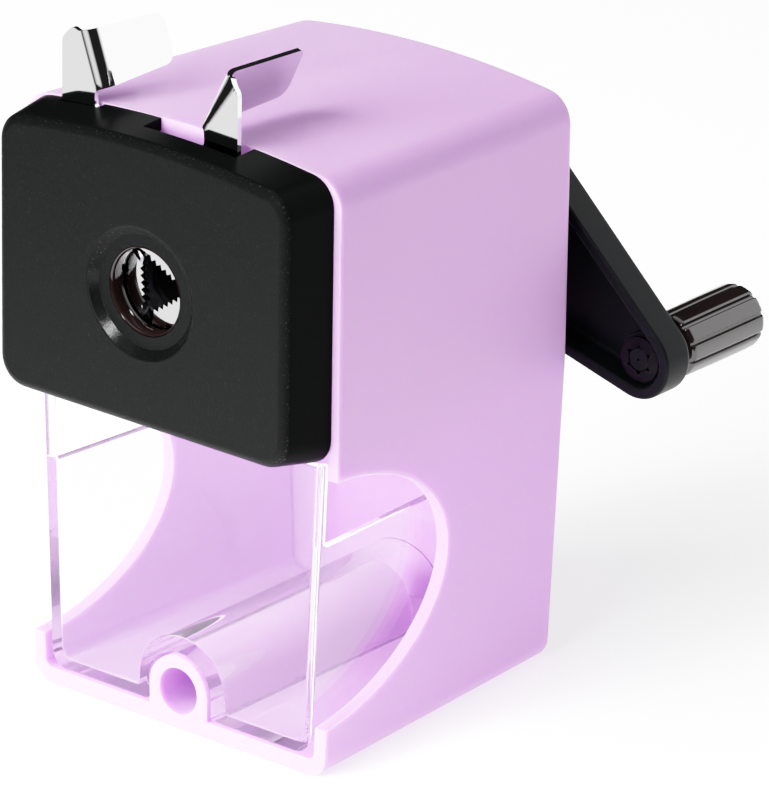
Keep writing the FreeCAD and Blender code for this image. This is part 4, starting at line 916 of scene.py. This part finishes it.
def studio_world():
    """The studio as each kind of ray meets it: white to look at, even for soft light, shaped for mirrors.

    Mirrored, it is bright overhead, straight ahead, behind to the right and low at the front left, and
    dark between. The bright parts were placed for the photograph's view.
    """
    world = bpy.data.worlds.new("studio")
    bpy.context.scene.world = world
    world.use_nodes = True
    tree = world.node_tree
    background = tree.nodes["Background"]
    background.inputs[0].default_value = (1, 1, 1, 1)

    def node(kind, operation=None, **values):
        made = tree.nodes.new(kind)
        if operation:
            made.operation = operation
        for key, value in values.items():
            target = made.inputs[int(key[1:])] if key[0] == "_" else made.inputs[key.replace("_", " ")]
            if isinstance(value, bpy.types.NodeSocket):
                tree.links.new(value, target)
            else:
                target.default_value = value
        return made.outputs[0]

    direction = tree.nodes.new("ShaderNodeSeparateXYZ")
    tree.links.new(tree.nodes.new("ShaderNodeTexCoord").outputs["Generated"], direction.inputs[0])
    x, y, z = direction.outputs
    path = tree.nodes.new("ShaderNodeLightPath").outputs

    def fade(value, start, end, low, high):
        return node("ShaderNodeMapRange", Value=value, From_Min=start, From_Max=end, To_Min=low, To_Max=high)

    def product(first, second):
        return node("ShaderNodeMath", "MULTIPLY", _0=first, _1=second)

    def brighter(first, second):
        return node("ShaderNodeMath", "MAXIMUM", _0=first, _1=second)

    overhead = fade(z, 0.75, 0.95, 0.01, 1.2)
    behind_right = product(fade(y, 0.0, 0.40, 0.0, 1.9), fade(x, -0.10, 0.12, 0.0, 1.0))
    front_left = product(fade(x, -0.40, -0.20, 1.0, 0.0), fade(y, -0.50, -0.30, 1.0, 0.0))
    low_front_left = product(fade(z, -0.30, -0.20, 1.05, 0.0), front_left)
    straight_ahead = product(fade(y, -0.95, -0.85, 0.9, 0.0), fade(z, -0.20, -0.10, 0.0, 1.0))
    mirrored = brighter(brighter(brighter(overhead, behind_right), low_front_left), straight_ahead)
    soft = node("ShaderNodeMix", _0=path["Is Glossy Ray"], _2=SOFT_LIGHT, _3=mirrored)
    direct = brighter(path["Is Camera Ray"], path["Is Transmission Ray"])
    tree.links.new(node("ShaderNodeMix", _0=direct, _2=soft, _3=BACKDROP), background.inputs[1])


def film_curve():
    """Straight up to mid tones, then an easy shoulder, so that bright lilac pales towards white."""
    settings = bpy.context.scene.view_settings
    settings.view_transform = "Standard"
    settings.use_curve_mapping = True
    mapping = settings.curve_mapping
    mapping.white_level = (FILM_WHITE,) * 3
    curve = mapping.curves[3]
    for place, value in ((0.62, 0.62), (0.96, 0.79), (1.28, 0.89), (1.6, 0.96)):
        curve.points.new(place / FILM_WHITE, value)
    curve.points[-1].location = (1.0, 1.0)
    mapping.update()


def studio():
    """A pale floor, short in front and wide behind, with soft lights and the studio round them."""
    film_curve()
    bm = bmesh.new()
    front = [(0.24 * math.cos(t), 0.20 * math.sin(t), 0) for t in (math.pi * (1 + i / 24) for i in range(25))]
    back = [(1.8 * math.cos(t), 1.8 * math.sin(t), 0) for t in (math.pi * i / 48 for i in range(49))]
    bm.faces.new(loop_of(bm, front + back))
    floor = mesh_object("studio_floor", bm)
    floor.data.materials.append(floor_white())
    studio_world()
    middle = (0, 0, 0.06)
    area_light("key", (-0.40, -0.80, 0.95), middle, (0.7, 0.5), 16, mirrored=False)
    area_light("glint", (0.25, -0.94, 0.80), middle, (0.20, 0.20), 2.5)
    area_light("front", (-0.15, -1.05, 0.35), middle, (0.6, 0.4), 24, mirrored=False)
    area_light("inside", (0.016, -0.012, 0.060), (-0.02, 0.02, 0.02), (0.03, 0.03), 0.02, mirrored=False)


def camera():
    """The view from the front right and above, far away, with a slight roll."""
    azimuth, elevation, roll = math.radians(39.17), math.radians(21.99), math.radians(-0.9)
    offset = Vector((44.52, 62.71, 1454.5)) * MM
    back = Vector((math.sin(azimuth) * math.cos(elevation), -math.cos(azimuth) * math.cos(elevation),
                   math.sin(elevation)))
    right = Vector((math.cos(azimuth), math.sin(azimuth), 0))
    up = back.cross(right)
    across = right * math.cos(roll) - up * math.sin(roll)
    upright = right * math.sin(roll) + up * math.cos(roll)
    turn = Matrix((across, upright, back)).transposed()
    data = bpy.data.cameras.new("camera")
    data.sensor_width = SENSOR_WIDTH
    data.sensor_fit = "HORIZONTAL"
    data.lens = FOCAL_PIXELS / FRAME_WIDTH * SENSOR_WIDTH
    obj = bpy.data.objects.new("camera", data)
    obj.matrix_world = Matrix.Translation(turn @ offset + Vector((0, PLATE_Y * MM, 0))) @ turn.to_4x4()
    bpy.context.scene.collection.objects.link(obj)
    bpy.context.scene.camera = obj


dress_cad_nodes()
housing()
faceplate()
shade_sleeve()
chuck()
shavings_drawer()
crank_arm()
knob()
star_clip()
screws()
springs()
cutter()
studio()
camera()
